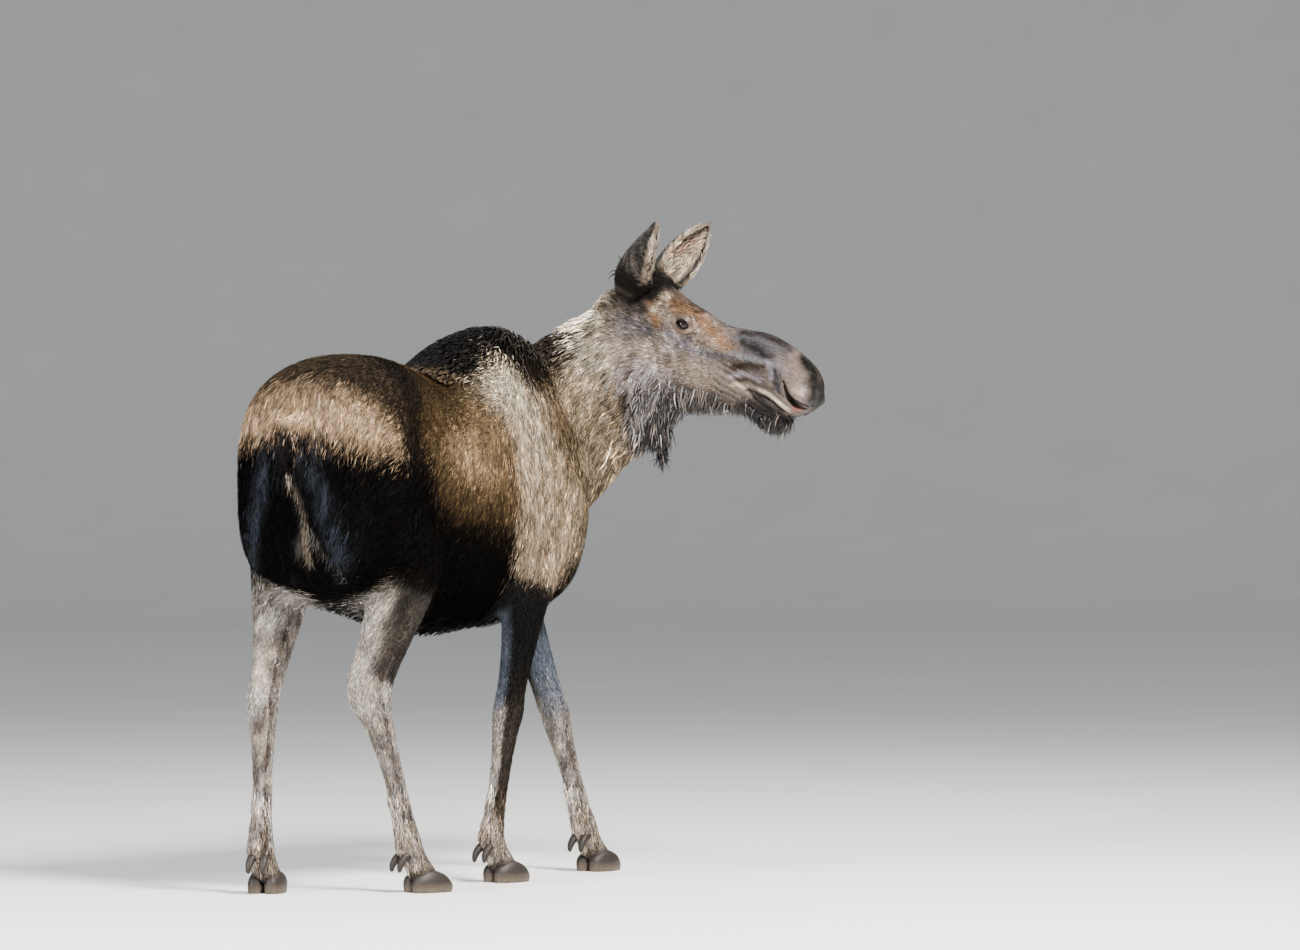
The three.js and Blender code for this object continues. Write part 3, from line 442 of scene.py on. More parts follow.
# ------------------------------------------------------------------ meshes from whole arrays
def made(name, points, quads=(), tris=()):
    """A mesh object in metres from millimetre points and their faces, smooth all over."""
    quads, tris = np.asarray(quads, np.int32).reshape(-1, 4), np.asarray(tris, np.int32).reshape(-1, 3)
    mesh = bpy.data.meshes.new(name)
    mesh.vertices.add(len(points))
    mesh.vertices.foreach_set("co", (np.asarray(points) * MM).astype(np.float32).ravel())
    mesh.loops.add(quads.size + tris.size)
    mesh.loops.foreach_set("vertex_index", np.concatenate([quads.ravel(), tris.ravel()]))
    mesh.polygons.add(len(quads) + len(tris))
    starts = np.concatenate([4 * np.arange(len(quads)), quads.size + 3 * np.arange(len(tris))])
    mesh.polygons.foreach_set("loop_start", starts.astype(np.int32))
    mesh.polygons.foreach_set("use_smooth", np.ones(len(starts), bool))
    mesh.update(calc_edges=True)
    obj = bpy.data.objects.new(name, mesh)
    bpy.context.scene.collection.objects.link(obj)
    return obj


def read(items, key, width, kind=np.float32):
    """One property of all points, edges or loops of a mesh, as rows."""
    values = np.empty(len(items) * width, kind)
    items.foreach_get(key, values)
    return values.reshape(-1, width)


def points_of(mesh):
    """The points in millimetres."""
    return read(mesh.vertices, "co", 3).astype(float) / MM


def place_points(mesh, points):
    """Moves the points to new places in millimetres."""
    mesh.vertices.foreach_set("co", (points * MM).astype(np.float32).ravel())
    mesh.update()


def normals_of(mesh):
    """The outward way at each point."""
    return read(mesh.vertex_normals, "vector", 3).astype(float)


def edges_of(mesh):
    """The two points of each edge."""
    return read(mesh.edges, "vertices", 2, np.int32)


def tris_of(mesh):
    """The faces cut into triangles."""
    mesh.calc_loop_triangles()
    return read(mesh.loop_triangles, "vertices", 3, np.int32)


def worked(obj, kind, **settings):
    """Applies one modifier to an object by taking its finished mesh."""
    m = obj.modifiers.new("work", kind)
    for k, v in settings.items():
        setattr(m, k, v)
    dg = bpy.context.evaluated_depsgraph_get()
    mesh = bpy.data.meshes.new_from_object(obj.evaluated_get(dg))
    obj.modifiers.clear()
    old, obj.data = obj.data, mesh
    bpy.data.meshes.remove(old)
    mesh.polygons.foreach_set("use_smooth", np.ones(len(mesh.polygons), bool))
    return obj


def fused(obj, voxel):
    """Overlapping bodies as one, with faces about `voxel` mm wide."""
    return worked(obj, "REMESH", mode="VOXEL", voxel_size=voxel * MM)


def with_solid(obj, other, how):
    """The union or difference of two closed bodies; the second is used up."""
    worked(obj, "BOOLEAN", operation=how, object=other, solver="MANIFOLD")
    bpy.data.objects.remove(other)
    return obj


def relaxed(p, edges, rounds, hold=1.0, back=0.62):
    """Evens a mesh out: each point goes towards its neighbours' mean, then back by the share `back`."""
    ends, others = np.concatenate([edges[:, 0], edges[:, 1]]), np.concatenate([edges[:, 1], edges[:, 0]])
    count = np.maximum(np.bincount(ends, minlength=len(p)), 1)[:, None]
    hold = np.broadcast_to(np.asarray(hold, float), len(p))[:, None]
    for k in range(2 * rounds):
        mean = np.stack([np.bincount(ends, p[others, c], len(p)) for c in range(3)], 1) / count
        step = -back if k % 2 else 0.6
        p = p + step * hold * (mean - p)
    return p


# ------------------------------------------------------------------ soft random fields
TABLE = rng.random((24, 24, 24))


def cloud(p, size, salt=0):
    """Smooth values from 0 to 1: a wrapped lattice of random numbers, `size` mm apart, blended between."""
    q = np.asarray(p, float) / size + salt * np.array([7.31, 3.17, 5.93])
    low = np.floor(q).astype(int)
    f = q - low
    f = f * f * (3 - 2 * f)
    corners = (low % 24, (low + 1) % 24)
    shares = (1 - f, f)
    out = 0.0
    for x, y, z in np.ndindex(2, 2, 2):
        value = TABLE[corners[x][..., 0], corners[y][..., 1], corners[z][..., 2]]
        out = out + value * (shares[x][..., 0] * shares[y][..., 1] * shares[z][..., 2])
    return out


def from_line(p, line):
    """Distance of each point from a line of joints, and how far along it the nearest place is."""
    line = np.asarray(line, float)
    best, where = np.full(p.shape[:-1], 1e9), np.zeros(p.shape[:-1])
    for k in range(len(line) - 1):
        d = line[k + 1] - line[k]
        t = np.clip(dot(p - line[k], d) / dot(d, d), 0, 1)
        far = np.linalg.norm(p - line[k] - t[..., None] * d, axis=-1)
        near = far < best
        best, where = np.where(near, far, best), np.where(near, k + t, where)
    return best, where


# ------------------------------------------------------------------ places on the animal
class Places:
    """Where points of the turned animal lie: on the straight body, on the head, along the legs and ears."""

    LEG_LINES = [in_trunk(leg.joints) for leg in LEGS.values()]
    EAR_LINES = [in_skull(along_ear(side, np.linspace(0.0, 1, 9))) for side in (LEFT, RIGHT)]
    BELL_LINE = in_skull(np.array([[BELL["x"], 0, BELL["root"] - 60], [BELL["x"] - 8, 0, BELL["tip"] - 30]]))

    def __init__(self, q):
        self.q = q
        self.body = neck_spine.unlay(q)
        self.head = head_frame(q)
        a, b, c = np.moveaxis(self.head, -1, 0)
        x, y, z = np.moveaxis(self.body, -1, 0)
        # the head's frame with its right side folded onto its left
        self.face = np.stack([a, b, np.abs(c)], -1)
        far, bone = (np.stack(v, -1) for v in zip(*[from_line(q, line) for line in self.LEG_LINES]))
        self.leg = far.argmin(-1)
        self.leg_far = far.min(-1)
        self.bone = np.take_along_axis(bone, self.leg[..., None], -1)[..., 0]
        self.hind = self.leg < 2
        self.left = self.leg % 2 == 0
        (left_far, left_t), (right_far, right_t) = [from_line(q, line) for line in self.EAR_LINES]
        self.ear_side = np.where(left_far < right_far, LEFT, RIGHT)
        self.ear_far = np.minimum(left_far, right_far)
        self.ear_t = np.where(left_far < right_far, left_t, right_t) / 8
        self.on_ear = smooth(self.ear_t, 0.10, 0.2) * (1 - smooth(self.ear_far, 95, 110)) * smooth(b, 70, 95)
        self.on_head = smooth(past_join(x, z), -30, 30) * smooth(x, 1450, 1500)
        self.on_bell = 1 - smooth(from_line(q, self.BELL_LINE)[0], 34, 52)
        self.on_bell = self.on_bell * smooth(BELL["root"] - 20 - q[..., 2], 0, 40)
        top = np.where(self.hind, 1.18, 1.95)
        self.on_leg = smooth(self.bone, top - 0.35, top + 0.25) * (1 - smooth(z, 1000, 1150))
        self.on_leg = self.on_leg * np.maximum(1 - smooth(self.leg_far, 110, 150), 1 - smooth(z, 650, 750))
        self.on_tail = (1 - smooth(x, -22, -12)) * (1 - smooth(np.abs(y), 44, 60)) * band(z, 1340, 1485, 15)

    def only(self, keep):
        """The same record for some of the points."""
        part = object.__new__(Places)
        for name, values in vars(self).items():
            setattr(part, name, values[keep])
        return part


# ------------------------------------------------------------------ the skin
def ridge(p, line, width, height):
    """A long swelling: height * exp(-(distance / width)^2) about a line, less at its ends."""
    far, where = from_line(p, line)
    n = len(line) - 1
    fade = smooth(where, -0.001, 0.35) * (1 - smooth(where, n - 0.35, n + 0.001))
    return height * np.exp(-(far / width) ** 2) * (0.35 + 0.65 * fade)


def hollow(p, at, size, depth):
    """A soft dent or, with a negative depth, a swelling: depth * exp(-r^2) with r in half-sizes."""
    return -depth * np.exp(-(((p - at) / size) ** 2).sum(-1))


FOLDS = {
    # a line of points a, b, c in the head's frame; width; height, below zero for a crease
    "edge of the upper lip": (
        [(440, -98, 52), (484, -88, 56), (530, -82, 60),
         (592, -78, 66), (640, -90, 64), (676, -106, 50)], 9, 8.0),
    "edge of the lower lip": ([(480, -116, 46), (540, -112, 48), (600, -114, 46), (650, -126, 30)], 8, 7.0),
    "swelling at the mouth's corner": (
        [(372, -113, 70), (415, -86, 74), (460, -84, 74), (486, -98, 66)], 9, 6.0),
    "crease at the mouth's corner": ([(380, -96, 74), (430, -100, 70), (478, -104, 62)], 5, -4.0),
    "swelling above the lip": ([(520, -62, 74), (560, -56, 80), (600, -62, 84), (634, -76, 84)], 7, 5.0),
    "crease above the lip": ([(500, -72, 70), (550, -69, 74), (600, -72, 80), (640, -88, 78)], 4.5, -5.0),
    "upper rim of the nostril": (
        [(590, 30, 76), (606, -2, 80), (628, -14, 86),
         (664, -38, 88), (700, -40, 78), (728, -48, 62)], 12, 7.0),
    "lower rim of the nostril": (
        [(606, -26, 88), (634, -70, 90), (664, -94, 82), (700, -104, 62), (734, -88, 44)], 9, 8.0),
    "crease behind the nostril": ([(560, 20, 84), (572, -20, 90), (586, -60, 88)], 9, -6.0),
    "swelling behind the nostril": ([(500, 24, 84), (520, -16, 88), (548, -60, 86)], 9, 5.0),
    "groove along the nose": ([(400, 30, 70), (470, 20, 76), (540, 20, 80)], 12, -5.0),
    "edge of the bridge": ([(380, 60, 46), (460, 66, 54), (540, 70, 54)], 12, 4.0),
    "bone from eye to nose": (
        [(250, 30, 84), (320, -10, 78), (400, -30, 76), (470, -22, 78), (520, 0, 82)], 16, 6.0),
    "hollow below that bone": ([(260, -40, 92), (330, -62, 84), (420, -58, 78), (480, -50, 76)], 14, -7.0),
    "cheekbone": ([(90, -70, 100), (170, -60, 102), (250, -64, 92), (300, -84, 84)], 18, 5.0),
    "groove above the jaw": ([(300, -190, 70), (380, -176, 66), (460, -150, 58)], 16, -4.0),
    "brow": ([(240, 40, 74), (200, 52, 74), (165, 40, 84), (140, 14, 92)], 12, 8.0),
    "hollow of the temple": ([(150, 46, 90), (110, 28, 94), (60, 20, 92)], 18, -6.0),
    "first wrinkle below the eye": ([(160, -52, 100), (200, -50, 98), (240, -34, 92)], 6, -3.5),
    "second wrinkle below the eye": ([(104, -76, 104), (140, -86, 104), (180, -84, 100)], 6, -3.5),
}


def head_relief(p):
    """How far the head's skin stands out of its plain masses, in its frame folded onto the left."""
    out = sum(ridge(p, line, width, height) for line, width, height in FOLDS.values())
    out += hollow(p, [285, 16, 66], [46, 30, 40], 6)
    out += hollow(p, [640, -30, 20], [50, 60, 40], -4)
    lips = band(p[..., 0], 400, 690, 40) * band(p[..., 1], -150, -50, 20)
    return out + 1.4 * np.sin(p[..., 1] / 3.3 + 0.024 * p[..., 0] + 3 * cloud(p, 40, 15)) * lips


BODY_FOLDS = {
    # points x, y, z on the straight animal's left; width; height
    "front edge of the shoulder": (
        [(1210, 205, 1640), (1150, 250, 1480), (1185, 240, 1330), (1250, 215, 1240)], 46, 12),
    "back edge of the shoulder": ([(1040, 230, 1700), (1000, 268, 1500), (1030, 282, 1330)], 40, -7),
    "crease behind the elbow": ([(1000, 286, 1130), (1060, 270, 1060), (1150, 240, 1010)], 30, -9),
    "edge of the flank": ([(470, 290, 1450), (430, 300, 1290), (400, 290, 1130)], 36, -9),
    "point of the hip": ([(330, 268, 1640), (380, 285, 1560), (420, 290, 1460)], 34, 10),
    "swelling of the haunch": ([(140, 262, 1560), (190, 285, 1400), (220, 280, 1230)], 60, 9),
    "groove down the buttock": ([(60, 225, 1520), (100, 268, 1330), (110, 255, 1160)], 34, -7),
}


def body_relief(s):
    """Shoulder, haunch and flank under the coat, on both sides of the straight animal."""
    p = np.stack([s[..., 0], np.abs(s[..., 1]), s[..., 2]], -1)
    out = sum(ridge(p, line, width, height) for line, width, height in BODY_FOLDS.values())
    ribs = np.sin(p[..., 0] / 26.0 + 0.004 * (p[..., 2] - 1200))
    return out + 1.6 * ribs * band(p[..., 0], 520, 900, 90) * band(p[..., 2], 1060, 1420, 110)


def coat_depth(at):
    """How deep the coat lies over the skin, in mm."""
    body = 9 + 7 * band(at.body[..., 0], 900, 1600, 120) * smooth(at.body[..., 2], 1500, 1700)
    deep = mix(body, 4.0, at.on_leg)
    face = 2.0 + 2.5 * smooth(-at.head[..., 0], -180, 60) + 3 * smooth(-at.head[..., 1], 150, 230)
    deep = mix(deep, face, at.on_head)
    return mix(deep, 1.0, at.on_ear)


def body_skin():
    """Trunk, neck, tail and legs as one body, evened out where they meet."""
    parts = [TRUNK.mesh(60, 72), TAIL.mesh(20, 24, 4)] + [leg.loft.mesh(130, 36) for leg in LEGS.values()]
    parts = [moved(part, in_trunk) for part in parts] + [moved(NECK.mesh(40, 64), in_neck)]
    obj = fused(made("body", *merged(parts)), 14.0)
    mesh = obj.data
    p = points_of(mesh)
    at = Places(p)
    x = at.body[:, 0]
    hold = mix(1.0, 0.35, at.on_leg * smooth(1050 - p[:, 2], 0, 200)) * (1 - 0.6 * at.on_tail)
    p = relaxed(p, edges_of(mesh), 26, hold)
    place_points(mesh, p)
    out = body_relief(at.body) * (1 - at.on_leg) * (1 - smooth(x, 1350, 1500))
    under = 5 * smooth(past_join(x, p[:, 2]), -10, 60) * smooth(x, 1400, 1500)
    out = out - 7 * leg_groove(at) * at.on_leg
    place_points(mesh, p + normals_of(mesh) * (out - coat_depth(at) - under)[:, None])
    return obj


def head_skin():
    """Skull, jaw, cheeks and the front of the neck as one body with the face's relief."""
    eggs = [lump(in_head(202, 8, side * 60), [74, 39, 43], PITCH, side * 4) for side in (LEFT, RIGHT)]
    eggs += [lump(in_head(100, -130, side * 52), [112, 42, 108], PITCH + 20) for side in (LEFT, RIGHT)]
    eggs += [lump(in_head(668, -40, side * 44), [62, 46, 52], PITCH) for side in (LEFT, RIGHT)]
    parts = [SKULL.mesh(110, 72), JAW.mesh(90, 56), bell_loft().mesh(30, 24)] + eggs
    parts = [moved(part, in_skull) for part in parts]
    keep_from = NECK.path[3] - np.array([20.0, 0, 0])
    front = Loft(np.concatenate([[keep_from], NECK.path[4:]]), *NECK.sizes[3:, :3].T, caps=(40, 60))
    parts.append(moved(front.mesh(40, 80), in_neck))
    obj = fused(made("head_mass", *merged(parts)), 4.5)
    mesh = obj.data
    p = points_of(mesh)
    at = Places(p)
    a, b, c = at.head.T
    behind = (1 - smooth(a + 0.35 * b, 60, 200)) * smooth(-b, 20, 100)
    below = smooth(-b - 0.2 * a, 150, 230) * (1 - smooth(a, 200, 300))
    throat = np.maximum.reduce([behind, 1 - smooth(a, -110, -20), below])
    p = relaxed(p, edges_of(mesh), 14, 1 - 0.7 * at.on_bell)
    p = relaxed(p, edges_of(mesh), 45, throat * (1 - at.on_bell), 0.3)
    place_points(mesh, p)
    under = 5 * (1 - smooth(past_join(at.body[:, 0], p[:, 2]), -60, 10))
    out = head_relief(at.face) * smooth(at.head[:, 0], -20, 60) - coat_depth(at) - under
    place_points(mesh, p + normals_of(mesh) * out[:, None])
    return obj


NOSTRIL = rows([(616, -12, 88, 16, 3, 4), (634, -36, 88, 28, 7, 9), (660, -57, 84, 36, 12, 14),
                (690, -67, 74, 38, 16, 15), (715, -67, 62, 32, 13, 11), (735, -62, 50, 16, 6, 5)])
MOUTH = rows([(498, -103, 62, 20, 2, 2), (540, -98, 66, 24, 3, 3), (592, -94, 70, 26, 3.5, 3.5),
              (642, -106, 66, 28, 3.5, 3.5), (678, -114, 48, 30, 3.5, 3.5)])


def slit(table, side):
    """A body that cuts a nostril or the mouth's line out of one side of the head."""
    a, b, c, wide, up, down = table
    cut = Loft(in_head(a, b, side * c), wide, up, down, caps=(10, 10))
    return made("slit", *moved(cut.mesh(26, 20, 3), in_skull))


def whole_skin():
    """One closed skin for the whole animal."""
    skin = body_skin()
    with_solid(skin, head_skin(), "UNION")
    for side in (LEFT, RIGHT):
        leaf, cup = ear_lofts(side)
        ear = made("ear", *moved(leaf.mesh(40, 56, 4), in_skull))
        with_solid(ear, made("cup", *moved(cup.mesh(34, 44, 4), in_skull)), "DIFFERENCE")
        with_solid(skin, ear, "UNION")
        for table in (NOSTRIL, MOUTH):
            with_solid(skin, slit(table, side), "DIFFERENCE")
    mesh = skin.data
    p = points_of(mesh)
    at = Places(p)
    a, b, c = at.head.T
    near_join = band(past_join(at.body[:, 0], p[:, 2]), -80, 80, 50) * smooth(at.body[:, 0], 1380, 1440)
    near_join = near_join * (1 - at.on_bell) * (1 - smooth(b, 40, 60) * smooth(a, -60, -20))
    p = relaxed(p, edges_of(mesh), 60, near_join, 0.2)
    ear_root = at.on_head * band(at.ear_t, -0.1, 0.12, 0.06) * (1 - smooth(at.ear_far, 90, 120))
    ear_root = ear_root * smooth(b, 0, 20)
    soft = 0.25 * at.on_head * (1 - smooth(a, 560, 600))
    p = relaxed(p, edges_of(mesh), 8, np.clip(near_join + ear_root + soft, 0, 1))
    eye = (at.face - EYE_AT) / [EYE_SLIT[0] + 7, EYE_SLIT[1] + 7, 40]
    sink = 13 * np.exp(-(np.abs(eye[:, :2]) ** 2).sum(-1) ** 2) * (np.abs(eye[:, 2]) < 1)
    place_points(mesh, p)
    place_points(mesh, p - normals_of(mesh) * sink[:, None])
    return skin


# ------------------------------------------------------------------ markings
def tone(r, g, b):
    """A colour in linear light from display values of 0 to 255."""
    return (np.array([r, g, b]) / 255.0) ** 2.2


BLACK, DARK, BROWN = tone(11, 8, 7), tone(25, 21, 16), tone(66, 53, 36)
BARREL, TAN, LIGHT_TAN = tone(103, 84, 61), tone(180, 152, 122), tone(174, 153, 128)
PALE, NECK_HAIR, SILVER = tone(196, 184, 165), tone(160, 141, 118), tone(174, 167, 161)
# the blue-grey here is painted sheen: a blue-grey reflection on black hair, for the backs of the thighs and
# the forelegs
SHEEN_BLUE_GREY, CREAM, CHEEK_HAIR = tone(80, 86, 98), tone(200, 184, 162), tone(128, 115, 106)
HOOF_HAIR = tone(120, 100, 80)


def spot(p, at, size):
    """A soft-edged patch: exp(-(r^2)^1.5) with r in half-sizes."""
    return np.exp(-((((p - np.asarray(at, float)) / size) ** 2).sum(-1)) ** 1.5)


# places down the leg with how far ahead of the bone's line the groove runs; its start, end and softness
HIND_GROOVE = rows([(1.3, -30), (1.6, -34), (1.95, -26), (2.15, -14), (3, -12)]), (1.4, 2.9, 0.15)
FORE_GROOVE = rows([(2, -4), (2.6, -8), (3, -14), (3.2, -10), (4, -9)]), (2.3, 3.9, 0.15)


def leg_groove(at):
    """Share of the groove between tendon and bone on the sides of each leg."""
    out = np.zeros(len(at.q))
    for k, line in enumerate(Places.LEG_LINES):
        i = np.clip(at.bone.astype(int), 0, len(line) - 2)
        bone = line[i + 1] - line[i]
        along = unit(bone)
        ahead = unit(np.array([1.0, 0, 0]) - along[:, :1] * along)
        f = dot(at.q - (line[i] + (at.bone - i)[:, None] * bone), ahead)
        place, reach = HIND_GROOVE if k < 2 else FORE_GROOVE
        share = np.exp(-((f - np.interp(at.bone, *place)) / 8.0) ** 2) * band(at.bone, *reach)
        out = np.where(at.leg == k, share, out)
    return out


# edges of the markings on the straight animal's side, as x and z from the tail forwards, to the nearest 5 mm
UNDER_EDGE = rows([(400, 1360), (540, 1320), (670, 1300), (870, 1260)])
RUMP_EDGE = rows([(-30, 1660), (70, 1630), (100, 1590), (155, 1550), (210, 1500), (300, 1420)])
HUMP_EDGE = rows([(560, 1725), (640, 1695), (700, 1670), (765, 1655), (825, 1680), (885, 1715), (940, 1750),
                  (990, 1770), (1010, 1750)])
WEDGE_FLOOR = rows([(980, 1800), (1005, 1710), (1030, 1660), (1070, 1630), (1140, 1625), (1265, 1670),
                    (1330, 1715), (1430, 1800)])
BLACK_EDGE = rows([(-40, 1510), (0, 1485), (60, 1460), (130, 1450), (200, 1405), (240, 1420), (300, 1430),
                   (375, 1390), (435, 1270), (540, 1220), (670, 1200), (775, 1180), (870, 1160), (905, 1080),
                   (930, 985), (1230, 985), (1280, 1060), (1420, 1130)])
SHOULDER_FRONT = [(1210, 1500), (1245, 1425), (1285, 1370), (1335, 1310), (1380, 1230)]
# the front edge of the dark strip ahead of the haunch, as z and x
STRIP_EDGE = rows([(1200, 470), (1260, 435), (1380, 385), (1460, 325), (1495, 320), (1665, 400), (1750, 430)])
# points x, y, z
THIGH_BACK = [(-20, 95, 1440), (-18, 105, 1370), (-14, 125, 1290), (-5, 160, 1190), (20, 185, 1090)]
THIGH_LINES = {
    # a pale line; its colour, half width and share; where it ends; whether it is mottled
    "from the tail": (
        [(-30, -4, 1372), (-27, -16, 1330), (-24, -46, 1270), (-18, -62, 1200), (20, -60, 1080)],
        CREAM, 9.0, 0.9, 60, False),
    "down the right thigh": (
        [(-16, -70, 1190), (10, -110, 1120), (40, -150, 1060), (70, -170, 1000)],
        SILVER, 6.0, 0.6, 90, False),
    "to the left thigh": (
        [(-14, -50, 1190), (0, -30, 1120), (20, 0, 1060), (40, 20, 1000)],
        SILVER, 12.0, 0.4, 90, True),
}


def trunk_tones(q, x, z):
    """Brown and tan from haunch to neck, with the share of pale tips."""
    side = np.stack([x, z], -1)
    colour = np.broadcast_to(BARREL, q.shape)
    # the side from haunch to shoulder, palest along the middle of the barrel
    colour = mix(colour, TAN, 0.42 * spot(side, (620, 1420), (250, 110)))
    colour = mix(colour, BROWN, 0.5 * smooth(cloud(q * [1, 1, 0.6], 58, 31), 0.5, 0.72))
    upper = smooth(z - 0.45 * (x - 500), 1440, 1540) * band(x, 300, 900, 60)
    colour = mix(colour, BROWN, 0.92 * upper)
    under = 1 - smooth(z - np.interp(x, *UNDER_EDGE), -60, 90)
    colour = mix(colour, BROWN, 0.9 * under)
    colour = mix(colour, TAN, band(x, -60, 250, 40))
    # shoulder and foreleg, the pale patch below the hump, the neck
    colour = mix(colour, LIGHT_TAN, smooth(x, 840, 920))
    colour = mix(colour, BARREL, 0.7 * spot(side, (790, 1500), (60, 170)))
    colour = mix(colour, PALE, 0.95 * spot(side, (915, 1640), (140, 100)))
    colour = mix(colour, PALE, 0.4 * spot(side, (1000, 1480), (90, 190)))
    colour = mix(colour, NECK_HAIR, smooth(x, 1250, 1340))
    colour = mix(colour, BARREL, 0.6 * spot(side, (1150, 1600), (70, 110)))
    # paler hair along the top of the neck, with a painted highlight laid over it
    colour = mix(colour, PALE, 0.85 * band(x, 1360, 1570, 40) * band(z, 1690, 1980, 60))
    colour = mix(colour, NECK_HAIR * 0.8, 0.5 * band(x, 1280, 1560, 40) * (1 - smooth(z, 1620, 1760)))
    front = np.exp(-(from_line(side, SHOULDER_FRONT)[0] / 95) ** 2)
    colour = mix(colour, BROWN, 0.95 * front)
    tips = 0.9 - 0.4 * upper
    tips = tips - 0.3 * under * (x < 900)
    return colour, tips * (1 - 0.35 * front)


def dark_back(q, x, z):
    """Share of dark brown on top of the rump, along the back and in the strip ahead of the haunch, and the
    share of brown beside that strip."""
    rump = smooth(z - np.interp(x, *RUMP_EDGE), -130, 70) * (1 - smooth(x, 270, 350))
    edge = np.interp(z, *STRIP_EDGE)
    low = smooth(z, 1180, 1300)
    strip = band(x, edge - 95, edge + 6, 24) * low
    beside = band(x, edge - 40, edge + 90, 60) * low
    back = 0.6 * (1 - smooth(np.interp(x, X, TOP) - z, 50, 120)) * band(x, 300, 740, 60)
    flecks = smooth(cloud(q * [1, 1, 0.6], 9, 33), 0.5, 0.75)
    return np.clip(1.1 * rump + 1.1 * strip + 0.7 * back, 0, 0.985) * (1 - 0.09 * flecks), beside


def black_parts(at, x, y, z):
    """Share of black on the hump, the wedge ahead of it, thighs, flank, belly, chest and tail."""
    hump = smooth(z - np.interp(x, *HUMP_EDGE), -26, 26) * band(x, 640, 1015, 30)
    wedge = smooth(z - np.interp(x, *WEDGE_FLOOR), -45, 45) * band(x, 985, 1365, 40)
    black = np.clip(hump + 0.97 * wedge, 0, 1)
    low = np.interp(x, *BLACK_EDGE) + 130 * (1 - smooth(y, 40, 110)) * smooth(x, 1200, 1330)
    black = np.maximum(black, 1 - smooth(z - low, -36, 30))
    return np.maximum(black, 0.95 * at.on_tail)


# the level way back and inwards: the legs get a painted grey sheen on that side and painted shade on the
# other
BACK, INWARDS = 0.574, 0.819


def leg_tones(at, normal, wander, fine):
    """Colour of the legs, dark at thigh and forearm and pale below, and how pale they are."""
    q, hind, fore = at.q, at.hind, 1 - at.hind
    inner = np.where(at.body[:, 1] > 0, -1.0, 1.0)
    hind_pale = smooth(at.bone + 0.14 * wander + 0.08 * fine, 1.12, 1.26) * hind
    fore_pale = fore * smooth(at.bone + 0.3 * wander, 2.74, 2.96)
    pale = np.clip(hind_pale + fore_pale, 0, 1)
    leg = mix(np.broadcast_to(BLACK, q.shape), SILVER, pale)
    mottle = smooth(cloud(q * [1, 1, 0.6], 34, 9), 0.36, 0.72)
    leg = mix(leg, tone(100, 90, 86), 0.85 * mottle * pale)
    leg = mix(leg, tone(206, 190, 170), 0.5 * smooth(cloud(q, 46, 13), 0.5, 0.8) * pale)
    grey = INWARDS * inner * normal[:, 1] - BACK * normal[:, 0]
    # painted shade on the side away from the sheen: on the hind legs above the hock, and low on the right
    # foreleg
    leg = mix(leg, DARK, 0.92 * smooth(-grey, 0.0, 0.45) * hind * band(at.bone, 1.1, 1.85, 0.12))
    leg = mix(leg, DARK, 0.97 * smooth(-grey, -0.35, 0.05) * fore * band(at.bone, 2.8, 3.7, 0.3) * (~at.left))
    # the foot
    last = np.where(hind, 3.0, 4.0)
    leg = mix(leg, HOOF_HAIR, 0.5 * smooth(at.bone, last - 0.5, last))
    leg = mix(leg, DARK, 0.6 * smooth(at.bone, last - 0.3, last) * smooth(normal[:, 0], 0.2, 0.7))
    leg = mix(leg, DARK, 0.8 * smooth(at.bone, last + 0.5, last + 0.85))
    # painted shade along the groove between tendon and bone, on the pale lower legs
    leg = mix(leg, tone(70, 60, 54), 0.9 * leg_groove(at) * pale)
    # painted sheen: a blue-grey edge down the back and inner side of each forearm
    edge = 0.85 * smooth(grey, 0.15, 0.75) * fore * band(at.bone, 2.0, 2.9, 0.2)
    return mix(leg, SHEEN_BLUE_GREY * 1.5, edge), pale, mottle


def body_markings(at, normal):
    """Colour and share of pale tips over trunk, neck and legs."""
    q = at.q
    x, y, z = at.body.T
    y = np.abs(y)
    wander, fine = cloud(q, 75) - 0.5, cloud(q, 24, 3) - 0.5
    z = z + 60 * wander + 30 * fine
    x = x + 46 * fine
    colour, tips = trunk_tones(q, x, z)
    shade, beside = dark_back(q, x, z)
    colour = mix(mix(colour, BROWN, 0.6 * beside), DARK, shade)
    black = black_parts(at, x, y, z)
    # a dull blue gleam down the back of each thigh
    rear = from_line(np.stack([at.body[:, 0], y, at.body[:, 2]], -1), THIGH_BACK)[0]
    gleam = np.exp(-(rear / 30.0) ** 2) * smooth(cloud(q * [1, 1, 0.4], 16, 7), 0.2, 0.7)
    colour = mix(mix(colour, BLACK, black), SHEEN_BLUE_GREY, 0.85 * gleam * black)
    tips = tips * (1 - 0.4 * shade) * (1 - 0.97 * black)
    leg, pale, mottle = leg_tones(at, normal, wander, fine)
    outer = np.where(at.hind, np.maximum(smooth(y, 40, 80), 1 - smooth(z, 880, 940)), 1.0)
    wide = np.where(at.hind, 32, 0)
    near = (1 - smooth(at.leg_far, 120 + wide, 155 + wide)) * (1 - smooth(z, 1010, 1090)) * outer
    forearm = smooth(at.bone, 1.85, 2.0) * smooth(1030 - z, -20, 40)
    reach = near * np.where(at.hind, smooth(at.bone, 1.02, 1.12), forearm)
    colour = mix(colour, leg, reach)
    tips = mix(tips, 0.5 * pale, reach)
    for line, tint, half, share, end, mottled in THIGH_LINES.values():
        far = from_line(at.body, line)[0]
        share = share * np.exp(-(far / half) ** 2) * (at.body[:, 0] < end)
        colour = mix(colour, tint, share * mottle if mottled else share)
    return colour, np.clip(tips, 0, 1)


